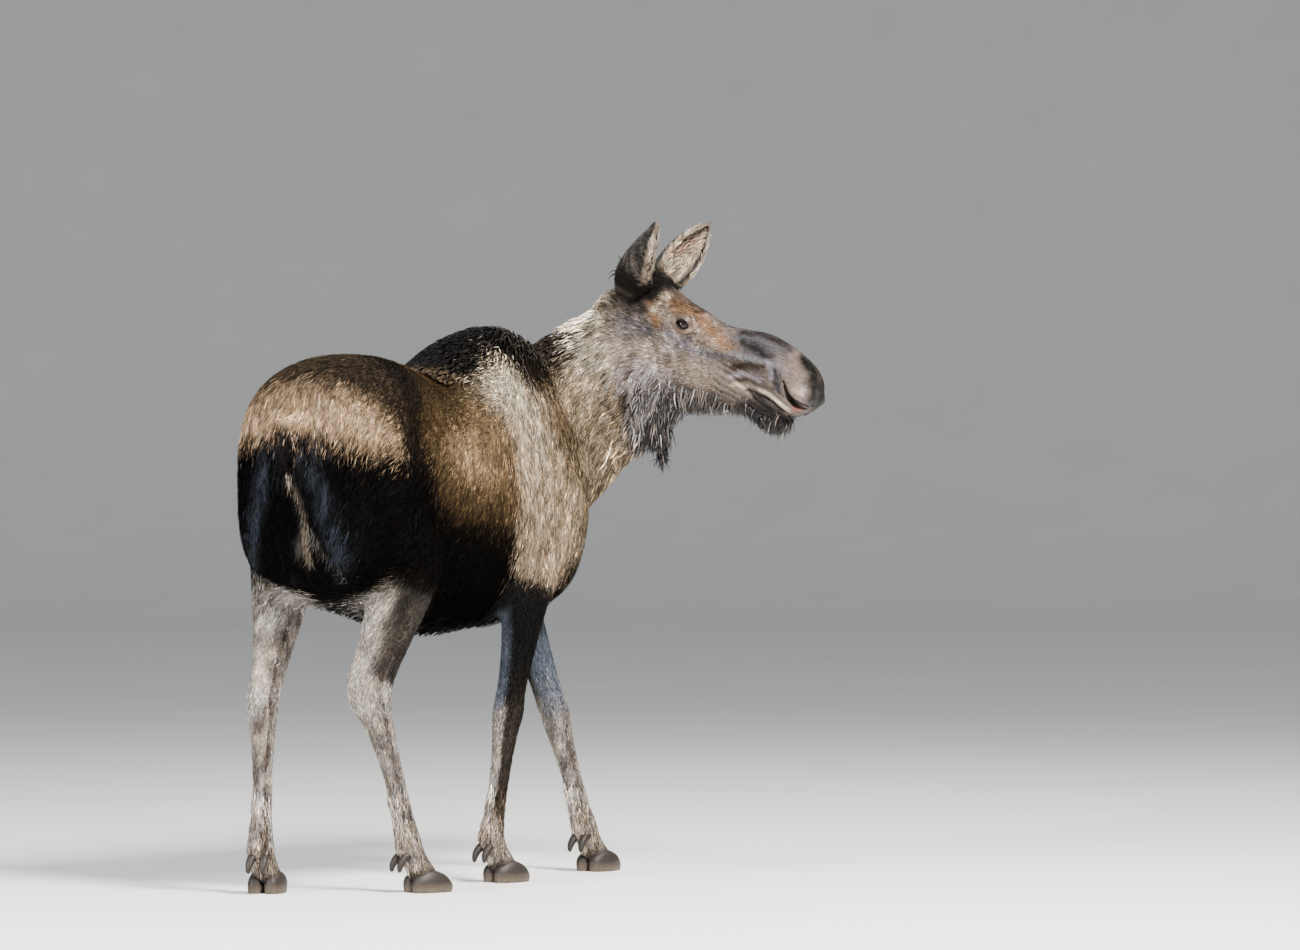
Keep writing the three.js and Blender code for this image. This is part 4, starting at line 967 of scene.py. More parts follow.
# colours here are display values from 0 to 255
STROKES = {
    # a line on the side of the head, along and above; half width; colour; share
    "dark line on the bridge": ([(395, 60), (460, 85), (530, 90), (580, 80)], 12, (40, 36, 40), 0.9),
    "grey below that line": ([(390, 40), (455, 60), (525, 65), (560, 70)], 8, (104, 104, 112), 0.85),
    "dark side of the nose": ([(420, 35), (475, 35), (535, 35)], 15, (40, 40, 40), 0.95),
    "pale line along the nose": ([(390, -15), (465, -5), (535, 15), (585, 20)], 10, (152, 152, 160), 0.85),
    "brown below the pale line": ([(430, -50), (475, -20), (530, -5)], 12, (60, 48, 40), 0.95),
    "pale swelling behind the mouth": (
        [(430, -85), (460, -60), (505, -50), (545, -50)], 8, (196, 184, 192), 0.9),
    # painted shade in the crease behind the mouth
    "crease behind the mouth": ([(440, -100), (485, -70)], 5, (60, 52, 48), 0.85),
    "pale edge behind the nostril": ([(535, 20), (555, -5), (570, -30)], 7, (172, 164, 176), 0.8),
    "brown above the nostril": ([(565, 65), (600, 50)], 10, (84, 80, 76), 0.7),
    "pale front of the nose": ([(615, 65), (645, 40), (665, -5), (700, -20)], 25, (160, 140, 128), 0.95),
    # painted shade in the groove behind the nostril
    "groove behind the nostril": ([(565, 0), (590, -20), (610, -50)], 11, (64, 64, 76), 0.9),
    "black end of the nose": ([(630, 75), (685, 45), (710, 10), (730, -30)], 20, (12, 12, 10), 0.97),
    "grey edge of the nose": ([(720, 0), (735, -45), (710, -95)], 6, (72, 72, 72), 0.7),
    "pale rim of the nostril": (
        [(655, -50), (685, -85), (705, -95), (720, -65)], 5.5, (152, 136, 128), 0.85),
    "bright upper lip": (
        [(450, -105), (515, -85), (575, -80), (625, -90), (665, -105)], 8, (224, 208, 184), 0.95),
    "grey below the lip": ([(525, -110), (585, -115), (630, -120)], 10, (84, 80, 80), 0.85),
    # painted shade in the line of the mouth
    "line of the mouth": ([(495, -105), (555, -100), (605, -100), (645, -115)], 4, (24, 20, 18), 0.95),
    "dark ridge of the brow": ([(30, 95), (120, 90), (175, 75), (245, 65)], 9, (40, 32, 36), 0.9),
    "rust above the eye": ([(140, 55), (185, 45), (235, 45)], 13, (116, 88, 64), 0.9),
    "grey behind the cheekbone": ([(20, -65), (85, -65), (135, -65)], 18, (80, 76, 80), 0.85),
    "dark below the ear": ([(25, -40), (65, -10), (85, 5)], 14, (48, 40, 32), 0.85),
    "dark root of the ear": ([(-35, 5), (15, 5), (60, 30), (55, 70)], 34, (16, 14, 10), 0.98),
    "rust behind the eye": ([(90, 20), (115, -15), (140, -35)], 14, (144, 108, 72), 0.9),
    "bright streak behind the brow": ([(105, 0), (100, 25), (105, 50), (115, 60)], 8, (248, 224, 192), 1.0),
    # painted shade in the hollow below the eye
    "grey hollow below the eye": ([(165, -30), (195, -55), (240, -55), (255, -30)], 8, (80, 80, 88), 0.85),
    "pale lower lid": ([(190, -25), (230, -30)], 7, (144, 128, 120), 0.8),
    # painted shade in the crease at the eye's front corner
    "dark corner of the eye": ([(230, 40), (260, 25), (260, -25)], 4.5, (44, 40, 40), 0.9),
    "bright spot ahead of the eye": ([(250, 20), (265, 0)], 4, (248, 224, 200), 0.95),
    "pale spot on the cheekbone": ([(185, -90), (225, -95)], 9, (200, 184, 176), 0.8),
    "rust ahead of the eye": ([(260, 35), (325, 15), (385, -5)], 22, (136, 104, 80), 0.9),
    "grey line below the rust": ([(240, -60), (280, -60), (360, -45), (415, -25)], 13, (96, 96, 100), 0.85),
    "brown edge of the jaw": ([(155, -225), (250, -200), (330, -180)], 12, (92, 80, 72), 0.6),
    "pale back of the jaw": ([(85, -230), (160, -185), (235, -175)], 24, (184, 172, 168), 0.6),
    "brown trace above the mouth": ([(430, -40), (510, -15)], 8, (72, 64, 48), 0.5),
    "pale hair down the throat": ([(60, -255), (120, -355)], 16, (140, 128, 120), 0.5),
}
HEAD_PATCHES = {
    # middle and half-sizes along, above and out; colour; share
    "back of the jaw": ((60, -190, 90), (110, 70, 90), (172, 156, 146), 0.75),
    "forehead": ((130, 92, 0), (150, 40, 70), (50, 44, 42), 0.92),
    "round the brow": ((195, 50, 60), (84, 26, 60), (108, 82, 60), 0.9),
    "bridge of the nose": ((300, 66, 0), (120, 20, 40), (96, 90, 90), 0.7),
    "below the ear": ((40, -70, 90), (100, 80, 90), (98, 93, 93), 0.75),
    "side of the nose": ((480, 40, 50), (116, 60, 90), (98, 94, 100), 0.85),
    "above the nostril": ((600, 40, 40), (60, 60, 90), (150, 140, 140), 0.8),
    "end of the nose": ((736, 14, 36), (30, 86, 90), (44, 38, 38), 0.95),
    "upper lip": ((700, -96, 50), (50, 20, 70), (150, 142, 138), 0.7),
    "below the eye": ((250, -60, 90), (90, 30, 60), (150, 142, 140), 0.7),
    "cheek": ((250, -120, 90), (120, 40, 60), (160, 144, 130), 0.7),
}


def plain(tint, p):
    """One colour for all points."""
    return np.broadcast_to(tint, p.shape)


def ear_tones(at, inside):
    """Near black behind, cream and pink inside, dark at the tip."""
    q, t = at.q, at.ear_t
    streaks = smooth(cloud(q * [1, 1, 0.35], 8, 6), 0.46, 0.7)
    behind = mix(plain(tone(17, 14, 13), q), tone(78, 71, 64), streaks)
    lining = mix(plain(CREAM * 0.85, q), tone(170, 144, 126), smooth(cloud(q, 34, 8), 0.4, 0.8))
    lining = mix(lining, tone(96, 82, 72), 0.85 * smooth(t, 0.66, 0.92))
    lining = mix(lining, tone(96, 80, 70), 0.7 * smooth(cloud(q * [1, 1, 0.3], 13, 4), 0.55, 0.75))
    return mix(behind, lining, inside)


def head_markings(at, normal):
    """Colour and share of pale tips over face, jaw and ears."""
    a, b, c = at.head.T
    p = at.face + (cloud(at.q, 34, 5) - 0.5)[:, None] * [14, 12, 0]
    colour = plain(CHEEK_HAIR, p)
    colour = mix(colour, NECK_HAIR, 1 - smooth(a - 0.35 * b, -100, 80))
    # painted light: the crest behind the head lightened to pale, to lift the shade that falls on it
    colour = mix(colour, PALE, 0.9 * (1 - smooth(a - 0.35 * b, -110, 10)) * smooth(b, -160, -60))
    for middle, size, shade, share in HEAD_PATCHES.values():
        colour = mix(colour, tone(*shade), share * spot(p, middle, size))
    grain = 0.75 + 0.5 * cloud(at.head * [0.5, 1, 1], 9, 16)
    for line, wide, shade, share in STROKES.values():
        far = from_line(p[:, :2], line)[0]
        colour = mix(colour, tone(*shade), np.clip(share * np.exp(-(far / wide) ** 2) * grain, 0, 1))
    # damp jaw and chin: dark hair streaked with painted silver highlights
    fringe = smooth(-b - 0.16 * a, 110, 190) * band(a, 130, 480, 60)
    wet = smooth(cloud(at.head * [1, 0.14, 0.4], 11.0, 2), 0.46, 0.66)
    colour = mix(colour, mix(plain(tone(44, 36, 32), p), tone(190, 180, 178), wet), 0.9 * fringe)
    colour = mix(colour, tone(34, 29, 30), 0.93 * smooth(-b, 112, 136) * smooth(a, 470, 530))
    under = smooth(-b - 0.16 * a, 205, 240) * smooth(a, 150, 330) * (1 - smooth(np.abs(c), 20, 90))
    colour = mix(colour, DARK, 0.6 * under)
    ring = np.linalg.norm((p - EYE_AT)[:, :2] / [44, 38], axis=1)
    colour = mix(colour, tone(100, 84, 72), 0.8 * (1 - smooth(ring, 0.5, 0.9)))
    colour = colour * mix(0.92, 0.56, smooth(a, 330, 450))[:, None]
    # inside the nostril
    colour = mix(colour, tone(24, 17, 16), 0.95 * spot(at.face, (680, -58, 52), (60, 40, 17)))
    colour = mix(colour, tone(150, 88, 78), 0.9 * spot(at.face, (696, -84, 58), (30, 12, 16)))
    colour = mix(colour, tone(40, 38, 42), 0.85 * at.on_bell)
    tips = 0.7 * (1 - smooth(a, 380, 560)) * (1 - 0.5 * fringe)
    tips = tips * (1 - 0.8 * spot(p[:, :2], (0, 0), (70, 80)))
    inside = smooth(into_ear(at, normal), 0.1, 0.5) * smooth(at.ear_t, 0.12, 0.24)
    root = (1 - smooth(at.ear_far, 100, 140)) * smooth(b, 8, 38) * (1 - inside * smooth(at.ear_t, 0.14, 0.22))
    colour = mix(colour, tone(22, 18, 16), 0.97 * root)
    tips = mix(tips * (1 - 0.7 * root), 0.3 * inside, at.on_ear)
    return mix(colour, ear_tones(at, inside), at.on_ear), tips


def cup_facing(side):
    """The way an ear's cup faces, on the turned animal."""
    return turned(turned(np.array([1.0, 0, 0]), side * EARS[side]["facing"]), HEADING)


def into_ear(at, normal):
    """How squarely each normal looks out of the nearer ear's cup."""
    return dot(normal, np.where((at.ear_side == LEFT)[:, None], cup_facing(LEFT), cup_facing(RIGHT)))


def markings(at, normal):
    """Colour and share of pale tips: the head's on head and ears, the body's elsewhere."""
    body, body_tips = body_markings(at, normal)
    head, head_tips = head_markings(at, normal)
    on_head = np.maximum(at.on_head, at.on_ear)
    return mix(body, head, on_head), mix(body_tips, head_tips, on_head)


# ------------------------------------------------------------------ the lie of the coat
def spine_dir(at, d):
    """A direction on the straight body, turned with the spine where each point is."""
    h = neck_spine.heading(at.body[:, 0])
    c, s = np.cos(h), np.sin(h)
    return np.stack([c * d[:, 0] - s * d[:, 1], s * d[:, 0] + c * d[:, 1], d[:, 2]], -1)


def lie_of(at):
    """Which way the hair points, before it is laid along the skin."""
    x, y, z = at.body.T
    one = np.ones(len(x))
    side = np.sign(y) * smooth(np.abs(y), 20, 120)
    down = -0.35 - 0.75 * smooth(1650 - z, 0, 400) * band(x, 350, 1000, 150)
    down = down - 1.1 * (1 - smooth(x, -20, 220)) - 0.8 * band(x, 1000, 1500, 150)
    lie = unit(spine_dir(at, np.stack([-one, 0.15 * side, down], -1)))
    # down each leg, a little backwards
    bone = np.zeros_like(lie)
    for k, line in enumerate(Places.LEG_LINES):
        along = unit(np.diff(line, axis=0))
        i = np.clip(at.bone.astype(int), 0, len(along) - 1)
        bone = np.where((at.leg == k)[:, None], along[i], bone)
    backwards = unit(spine_dir(at, np.stack([-one, 0 * one, 0 * one], -1)))
    lie = mix(lie, unit(bone + 0.25 * backwards), at.on_leg)
    # back and down over the face, down at the jaw
    a, b, c = at.head.T
    below = -0.12 - 0.65 * smooth(-b, 60, 200) * (1 - smooth(a, 420, 560))
    back = -1 + 0.75 * smooth(-b - 0.16 * a, 140, 220) * (1 - smooth(a, 440, 520))
    lie = mix(lie, unit(head_dir(back, below, 0.12 * np.sign(c))), at.on_head)
    lie = mix(lie, np.broadcast_to(-UP, lie.shape), at.on_bell)
    for ear in (LEFT, RIGHT):
        axis = turned(unit(along_ear(ear, 1.0) - along_ear(ear, 0.0)), HEADING)
        lie = mix(lie, np.broadcast_to(axis, lie.shape), at.on_ear * (at.ear_side == ear))
    swirl = (cloud(at.q, 130, 11) - 0.5)[:, None] * 0.7
    return unit(lie + swirl * np.stack([lie[:, 2] * 0 + 0.4, 0.4 * one, one], -1))


# ------------------------------------------------------------------ tufts and locks
def painted(obj, colour, alpha=None):
    """Keeps a colour for each point, with a share of bareness or wetness in its alpha."""
    mesh = obj.data
    rgba = np.ones((len(mesh.vertices), 4), np.float32)
    rgba[:, :3] = colour
    if alpha is not None:
        rgba[:, 3] = alpha
    mesh.color_attributes.new("tint", "FLOAT_COLOR", "POINT").data.foreach_set("color", rgba.ravel())
    return obj


class Hide:
    """The skin as arrays: its points, normals and triangles, with where the middle of each triangle lies."""

    def __init__(self, mesh):
        self.points, self.normals, self.tris = points_of(mesh), normals_of(mesh), tris_of(mesh)
        corner = self.points[self.tris]
        across = np.cross(corner[:, 1] - corner[:, 0], corner[:, 2] - corner[:, 0])
        self.area = np.linalg.norm(across, axis=1) / 2
        self.places = Places(corner.mean(1))
        self.facing = unit(self.normals[self.tris].mean(1))


class Roots:
    """Where hairs leave the skin: point, normal, lie, how fast the skin falls away, colour and pale tips."""

    FIELDS = ("at", "normal", "lie", "fall", "colour", "tips")

    def __init__(self, draw, places, **fields):
        self.draw, self.places = draw, places
        vars(self).update(fields)

    def only(self, keep):
        """Some of the roots, with the same source of random draws."""
        return Roots(self.draw, self.places.only(keep), **{k: getattr(self, k)[keep] for k in self.FIELDS})


# bends of the skin, as 1 / radius in mm, past which a hair no longer follows
MOST_HOLLOW, MOST_ROUND = -1 / 250, 1 / 28


def grown(hide, want, seed, hang=0.0, blur=1.0):
    """Roots spread over the hide by area. `want` gives how many to a square mm, `hang` how straight they hang
    down, and `blur` scales how far from its root a hair may take its colour."""
    draw = np.random.default_rng(seed)
    corner, bend = hide.points[hide.tris], hide.normals[hide.tris]
    total = np.cumsum(hide.area * want(hide.places, hide.facing))
    count = int(total[-1])
    pick = np.searchsorted(total, (np.arange(count) + draw.random(count)) / count * total[-1])
    pick = np.minimum(pick, len(hide.tris) - 1)
    corner, bend = corner[pick], bend[pick]
    u, v = draw.random((2, count))
    flip = u + v > 1
    u, v = np.where(flip, 1 - u, u), np.where(flip, 1 - v, v)
    share = np.stack([1 - u - v, u, v], -1)[..., None]
    at = (corner * share).sum(1)
    normal = unit((bend * share).sum(1))
    places = Places(at)
    lie = mix(lie_of(places), -UP, hang) + 0.16 * draw.standard_normal(at.shape)
    lie = unit(lie - (1.0 if hang < 0.9 else 0.1) * dot(lie, normal)[:, None] * normal)
    # how fast the skin falls away along the lie, from the triangle's three normals
    a, b = corner[:, 1] - corner[:, 0], corner[:, 2] - corner[:, 0]
    aa, ab, bb, da, db = dot(a, a), dot(a, b), dot(b, b), dot(lie, a), dot(lie, b)
    size = np.maximum(aa * bb - ab * ab, 1e-6)
    s, t = (da * bb - db * ab) / size, (db * aa - da * ab) / size
    change = s[:, None] * (bend[:, 1] - bend[:, 0]) + t[:, None] * (bend[:, 2] - bend[:, 0])
    fall = np.clip(dot(change, lie), MOST_HOLLOW, MOST_ROUND)
    # colours stray most over the trunk, less on the head, legs and the back of the thighs
    x, y, z = places.body.T
    thighs = (1 - smooth(x, 40, 120)) * (1 - smooth(np.abs(y), 150, 220)) * (1 - smooth(z, 1370, 1420))
    reach = 27 * (1 - places.on_head) * (1 - 0.6 * places.on_leg) * (1 - 0.9 * thighs)
    astray = (blur * (3 + reach))[:, None] * draw.standard_normal(at.shape)
    colour, tips = markings(Places(at + astray), normal)
    return Roots(draw, places, at=at, normal=normal, lie=lie, fall=fall, colour=colour, tips=tips)


def strand_faces(rings):
    """Faces of one three-sided strand: a cap at the root, quads between its rings, three faces to the tip."""
    k = np.arange(3)
    j = (k + 1) % 3
    r = 3 * np.arange(rings - 1)[:, None]
    quads = np.stack([r + k, r + j, r + 3 + j, r + 3 + k], -1).reshape(-1, 4)
    last = 3 * (rings - 1)
    tris = np.concatenate([[[0, 2, 1]], np.stack([last + k, last + j, np.full(3, 3 * rings)], -1)])
    return quads, tris


# sizes of a strand at each ring, as shares of its width
HALF_WIDTH = np.array([0.75, 1.0, 0.85, 0.62]) / 2
THICKNESS = 0.42 * np.array([0.9, 1.0, 0.8, 0.6])
# size of a strand's patch on the skin laid flat
PATCH = 0.003


def strand_points(roots, long, wide, rise, droop, wave, rings):
    """Along t from 0 to 1 a strand runs by lie * long * t, rises by rise * sin(pi / 2 * t^0.7), follows the
    skin's fall, droops by droop * t^2 and narrows to its tip."""
    n = len(roots.at)
    side = unit(np.cross(roots.normal, roots.lie))
    long, wide, rise, droop = (np.broadcast_to(np.asarray(v, float), n) for v in (long, wide, rise, droop))
    swing = roots.draw.standard_normal((n, 2))
    points = np.empty((n, 3 * rings + 1, 3))
    for k, s in enumerate(np.linspace(0, 1, rings + 1)):
        reach = long * s
        fall = roots.fall * np.minimum(reach, 60) ** 2 / 2
        lift = -1.5 + (rise + 1.5) * math.sin(math.pi / 2 * s ** 0.7) - fall
        across = wave * long * (0.10 * swing[:, 0] * s * s + 0.05 * swing[:, 1] * math.sin(4 * s))
        centre = (roots.at + roots.lie * reach[:, None] + roots.normal * lift[:, None]
                  + side * across[:, None] - UP * (droop * s * s)[:, None])
        if k == rings:
            points[:, -1] = centre
            continue
        beside = side * (wide * HALF_WIDTH[k])[:, None]
        top = roots.normal * (wide * THICKNESS[k])[:, None]
        points[:, 3 * k:3 * k + 3] = np.stack([centre - beside, centre + beside, centre + top], 1)
    return points


def strand_tones(roots, along):
    """Darker at the root; brighter and duller by clumps, with a pale tip on some."""
    n = len(roots.at)
    luck = roots.draw.random(n)
    at = roots.at
    clump = (smooth(cloud(at * [1, 1, 0.4], 11, 21), 0.28, 0.72) + 0.5 * smooth(cloud(at, 7, 23), 0.3, 0.7)
             + 0.7 * cloud(at * [1, 1, 0.7], 26, 22) - 1.1)
    spread = 0.28 + 0.34 * roots.tips
    bright = 0.9 * np.exp(spread * roots.draw.standard_normal(n) + (0.5 + 0.75 * roots.tips) * clump)
    pale = (luck < roots.tips * 0.45) * (0.3 + 0.7 * roots.draw.random(n))
    dark = 1 - 0.55 * (luck > 1 - 0.3 * roots.tips)
    warm = roots.colour * (1 + (0.08 * roots.draw.standard_normal(n))[:, None] * [1.0, 0.0, -1.5])
    root = warm * (0.42 * bright)[:, None]
    middle = warm * (bright * dark)[:, None]
    tip = mix(middle * 1.1, np.minimum(roots.colour * 1.7 + [0.014, 0.011, 0.008], 0.8), pale)
    to_middle = smooth(along, 0.0, 0.45)[None, :, None]
    to_tip = smooth(along, 0.4, 1.0)[None, :, None]
    colour = root[:, None] * (1 - to_middle) + middle[:, None] * to_middle
    return colour * (1 - to_tip) + tip[:, None] * to_tip


def strands(name, roots, long, wide, rise, droop=0.0, wave=0.0, rings=1, unwrap=None):
    """Hair as closed three-sided strands, each with its own patch where its root is on the skin laid flat."""
    points = strand_points(roots, long, wide, rise, droop, wave, rings)
    n, each = points.shape[:2]
    quads, tris = strand_faces(rings)
    step = (np.arange(n) * each)[:, None, None]
    quads, tris = (quads + step).reshape(-1, 4), (tris + step).reshape(-1, 3)
    obj = made(name, points.reshape(-1, 3), quads, tris)
    along = np.append(np.repeat(np.linspace(0, 1, rings + 1)[:-1], 3), 1.0)
    painted(obj, strand_tones(roots, along).reshape(-1, 3))
    u, v = (0.001 + 0.995 * np.clip(w, 0, 1)[:, None] for w in unwrap)
    across = np.append(np.tile([0.0, 1.0, 0.5], rings), 0.5)
    uv = np.stack([u + PATCH * across, v + PATCH * along], -1).astype(np.float32).reshape(-1, 2)
    loops = read(obj.data.loops, "vertex_index", 1, np.int32)[:, 0]
    obj.data.uv_layers.new(name="OFBake").data.foreach_set("uv", uv[loops].ravel())
    return obj


def body_unwrap(at):
    """The body's skin laid flat: along the spine, and round it from the belly."""
    x, y, z = at.body.T
    middle = np.interp(x, [0, 1100, 1700], [1330, 1330, 1760])
    return fraction(x, -100, 1750), np.arctan2(y, z - middle) / (2 * np.pi) + 0.5


def leg_unwrap(at):
    """The four legs laid flat side by side: round the leg, and down it."""
    x, y, _ = at.body.T
    centre = np.zeros((len(x), 2))
    for k, leg in enumerate(LEGS.values()):
        here = [np.interp(at.bone, np.arange(len(leg.joints)), leg.joints[:, c]) for c in (0, 1)]
        centre = np.where((at.leg == k)[:, None], np.stack(here, -1), centre)
    turn = np.arctan2(y - centre[:, 1], x - centre[:, 0]) / (2 * np.pi) + 0.5
    return (at.leg + 0.02 + 0.96 * turn) / 4, fraction(at.bone, 0.5, 5)


def head_unwrap(at):
    """The head laid flat: from the poll to the nose, and round it from the throat."""
    a, b, c = at.head.T
    middle = np.interp(a, [0, 300, 700], [-60, -70, -40])
    return fraction(a, -180, 780), np.arctan2(c, b - middle) / (2 * np.pi) + 0.5


def ear_unwrap(at):
    """Both ears laid flat: the left above the right, from base to tip and round."""
    turns = []
    for side in (LEFT, RIGHT):
        d = at.q - in_skull(along_ear(side, np.clip(at.ear_t, 0, 1)))
        facing = cup_facing(side)
        turns.append(np.arctan2(dot(d, unit(np.cross(facing, UP))), dot(d, facing)) / (2 * np.pi) + 0.5)
    left, right = turns
    turn = np.where(at.ear_side == LEFT, 0.51 + 0.48 * left, 0.01 + 0.48 * right)
    return fraction(at.ear_t, 0.0, 1.0), turn


# ------------------------------------------------------------------ finishes
class Value:
    """A socket in a material. Sums, differences and products of it become Math nodes."""

    def __init__(self, finish, socket):
        self.finish, self.socket = finish, socket


def math_node(how, swapped=False):
    """The method of Value that adds one Math node."""
    def method(self, other):
        a, b = (other, self) if swapped else (self, other)
        return self.finish.add("ShaderNodeMath", {"operation": how}, {0: a, 1: b})
    return method


Value.__add__ = Value.__radd__ = math_node("ADD")
Value.__mul__ = Value.__rmul__ = math_node("MULTIPLY")
Value.__sub__, Value.__rsub__ = math_node("SUBTRACT"), math_node("SUBTRACT", swapped=True)


class Finish:
    """A material made of nodes."""

    def __init__(self, name):
        self.material = bpy.data.materials.new(name)
        self.material.use_nodes = True
        self.tree = self.material.node_tree
        self.tree.nodes.clear()

    def add(self, kind, settings=None, sockets=None, out=0):
        """A node with its settings and its inputs, each a number, a colour or another node's socket."""
        node = self.tree.nodes.new(kind)
        for key, value in (settings or {}).items():
            if key == "stops":
                ramp = node.color_ramp.elements
                while len(ramp) < len(value):
                    ramp.new(0.5)
                for stop, (at, colour) in zip(ramp, value):
                    stop.position, stop.color = at, (*colour, 1.0)
            else:
                setattr(node, key, value)
        for key, value in (sockets or {}).items():
            if isinstance(value, Value):
                self.tree.links.new(value.socket, node.inputs[key])
            else:
                node.inputs[key].default_value = value
        return None if out is None else Value(self, node.outputs[out])

    def place(self):
        """Object coordinates."""
        return self.add("ShaderNodeTexCoord", out="Object")

    def tint(self, part="Color"):
        """The colour kept in the points, or its alpha."""
        return self.add("ShaderNodeAttribute", {"attribute_name": "tint"}, out=part)

    def noise(self, at, scale, detail=3.0, rough=0.5, stretch=None):
        """Cloudy noise, stretched where asked."""
        if stretch:
            at = self.add("ShaderNodeMapping", {}, {"Vector": at, "Scale": stretch})
        return self.add("ShaderNodeTexNoise", {}, {"Vector": at, "Scale": scale, "Detail": detail,
                                                   "Roughness": rough})

    def steps(self, value, *stops):
        """A ramp through stops, each a place and a colour."""
        return self.add("ShaderNodeValToRGB", {"stops": stops}, {0: value})

    def blend(self, share, a, b, how="MIX"):
        """Two colours mixed or multiplied."""
        node = self.tree.nodes.new("ShaderNodeMix")
        node.data_type, node.blend_type = "RGBA", how
        # the sockets of a colour Mix: its factor, then its two colours
        for socket, value in ((node.inputs[0], share), (node.inputs[6], a), (node.inputs[7], b)):
            if isinstance(value, Value):
                self.tree.links.new(value.socket, socket)
            else:
                socket.default_value = value if np.ndim(value) == 0 else (*value, 1.0)
        return Value(self, node.outputs[2])

    def shaded(self, tint, value, *stops):
        """A colour multiplied by a ramp."""
        return self.blend(1.0, tint, self.steps(value, *stops), "MULTIPLY")

    def bump(self, height, strength, distance):
        """A normal tilted by a height."""
        return self.add("ShaderNodeBump", {}, {"Height": height, "Strength": strength, "Distance": distance})

    def surface(self, **sockets):
        """The shader and the output: constants sit on the shader's own sockets."""
        sockets = {name.replace("_", " "): value for name, value in sockets.items()}
        shader = self.add("ShaderNodeBsdfPrincipled", {}, sockets)
        self.add("ShaderNodeOutputMaterial", {}, {"Surface": shader}, None)
        return self.material


def skin_finish():
    """Hide under the coat, bare and leathery at the nose, lips and eyes."""
    f = Finish("hide")
    at, tint, bare = f.place(), f.tint(), f.tint("Alpha")
    hairs = f.noise(at, 330, 4, 0.62, (1, 1, 0.28))
    pebbles = f.add("ShaderNodeTexVoronoi", {}, {"Vector": at, "Scale": 420.0})
    under = f.shaded(tint, hairs, (0.25, (0.18, 0.17, 0.16)), (0.75, (0.75, 0.74, 0.72)))
    leather = f.shaded(tint, f.noise(at, 60, 3), (0.3, (0.72, 0.70, 0.70)), (0.7, (1, 1, 1)))
    height = hairs * (1 - bare) + pebbles * bare * 0.6
    return f.surface(Base_Color=f.blend(bare, under, leather), Roughness=0.78 - bare * 0.3,
                     Normal=f.bump(height, 0.5, 0.003), Specular_IOR_Level=0.1, Coat_Weight=bare * 0.45,
                     Coat_Roughness=0.34)


def coat_finish(name, rough, gloss):
    """Hair: its own tint with fine streaks."""
    f = Finish(name)
    streak = f.noise(f.place(), 260, 3, 0.6, (1, 1, 0.3))
    colour = f.shaded(f.tint(), streak, (0.3, (0.55, 0.54, 0.53)), (0.7, (1.2, 1.2, 1.2)))
    return f.surface(Base_Color=colour, Roughness=rough - streak * 0.12, Normal=f.bump(streak, 0.35, 0.0015),
                     Specular_IOR_Level=gloss)


def eye_finish():
    """A dark, wet eye."""
    f = Finish("eye_wet")
    fibres = f.noise(f.place(), 900, 2)
    colour = f.shaded(f.tint(), fibres, (0.3, (0.7, 0.7, 0.7)), (0.7, (1.15, 1.15, 1.15)))
    return f.surface(Base_Color=colour, Roughness=0.04 + fibres * 0.02, Specular_IOR_Level=0.5, IOR=1.42)


def horn_finish():
    """Hoof horn: near black, ringed across, scuffed paler at the ground."""
    f = Finish("hoof_horn")
    at = f.place()
    rings = f.add("ShaderNodeTexWave", {"wave_type": "BANDS", "bands_direction": "Z"},
                  {"Vector": at, "Scale": 55.0, "Distortion": 2.2, "Detail": 2.0})
    scuff = f.noise(at, 140, 4)
    height = f.add("ShaderNodeSeparateXYZ", {}, {0: at}, out="Z")
    worn = f.add("ShaderNodeMapRange", {}, {"Value": height, "From Min": 0.035, "From Max": 0.0})
    colour = f.blend(rings * 0.4 + scuff * 0.3, tuple(tone(20, 17, 16)), tuple(tone(54, 46, 40)))
    colour = f.blend(worn * scuff, colour, tuple(tone(110, 96, 82)))
    return f.surface(Base_Color=colour, Roughness=0.42 + scuff * 0.25,
                     Specular_IOR_Level=0.3, Normal=f.bump(rings * 0.6 + scuff * 0.4, 0.4, 0.0012))


def studio_finish():
    """Pale, even studio floor."""
    f = Finish("studio_floor")
    cloudy = f.noise(f.place(), 1.5, 2)
    return f.surface(Base_Color=f.steps(cloudy, (0.2, (0.60, 0.60, 0.59)), (0.8, (0.64, 0.64, 0.63))),
                     Roughness=0.85)


# ------------------------------------------------------------------ eyes, lids and hooves
def eye_frame(side):
    """An eye's middle and its three directions: along the slit, up, and outwards, on the turned animal."""
    at = in_skull(in_head(EYE_AT[0], EYE_AT[1], side * EYE_AT[2]))
    tip = math.radians(LID_TIP)
    yaw = math.radians(6)
    along = head_dir(math.cos(tip), -math.sin(tip), 0.0)
    out = unit(side * head_dir(0.0, 0.0, 1.0) * math.cos(yaw) + math.sin(yaw) * along)
    along = unit(along - dot(along, out) * out)
    above = head_dir(math.sin(tip), math.cos(tip), 0.0)
    above = unit(above - dot(above, out) * out)
    return at, along, above, out


# radius of the eyeball and height of its swelling; radius on which the lids rest
BALL, SWELLING, UNDER_LIDS = 23.6, 1.6, 24.6


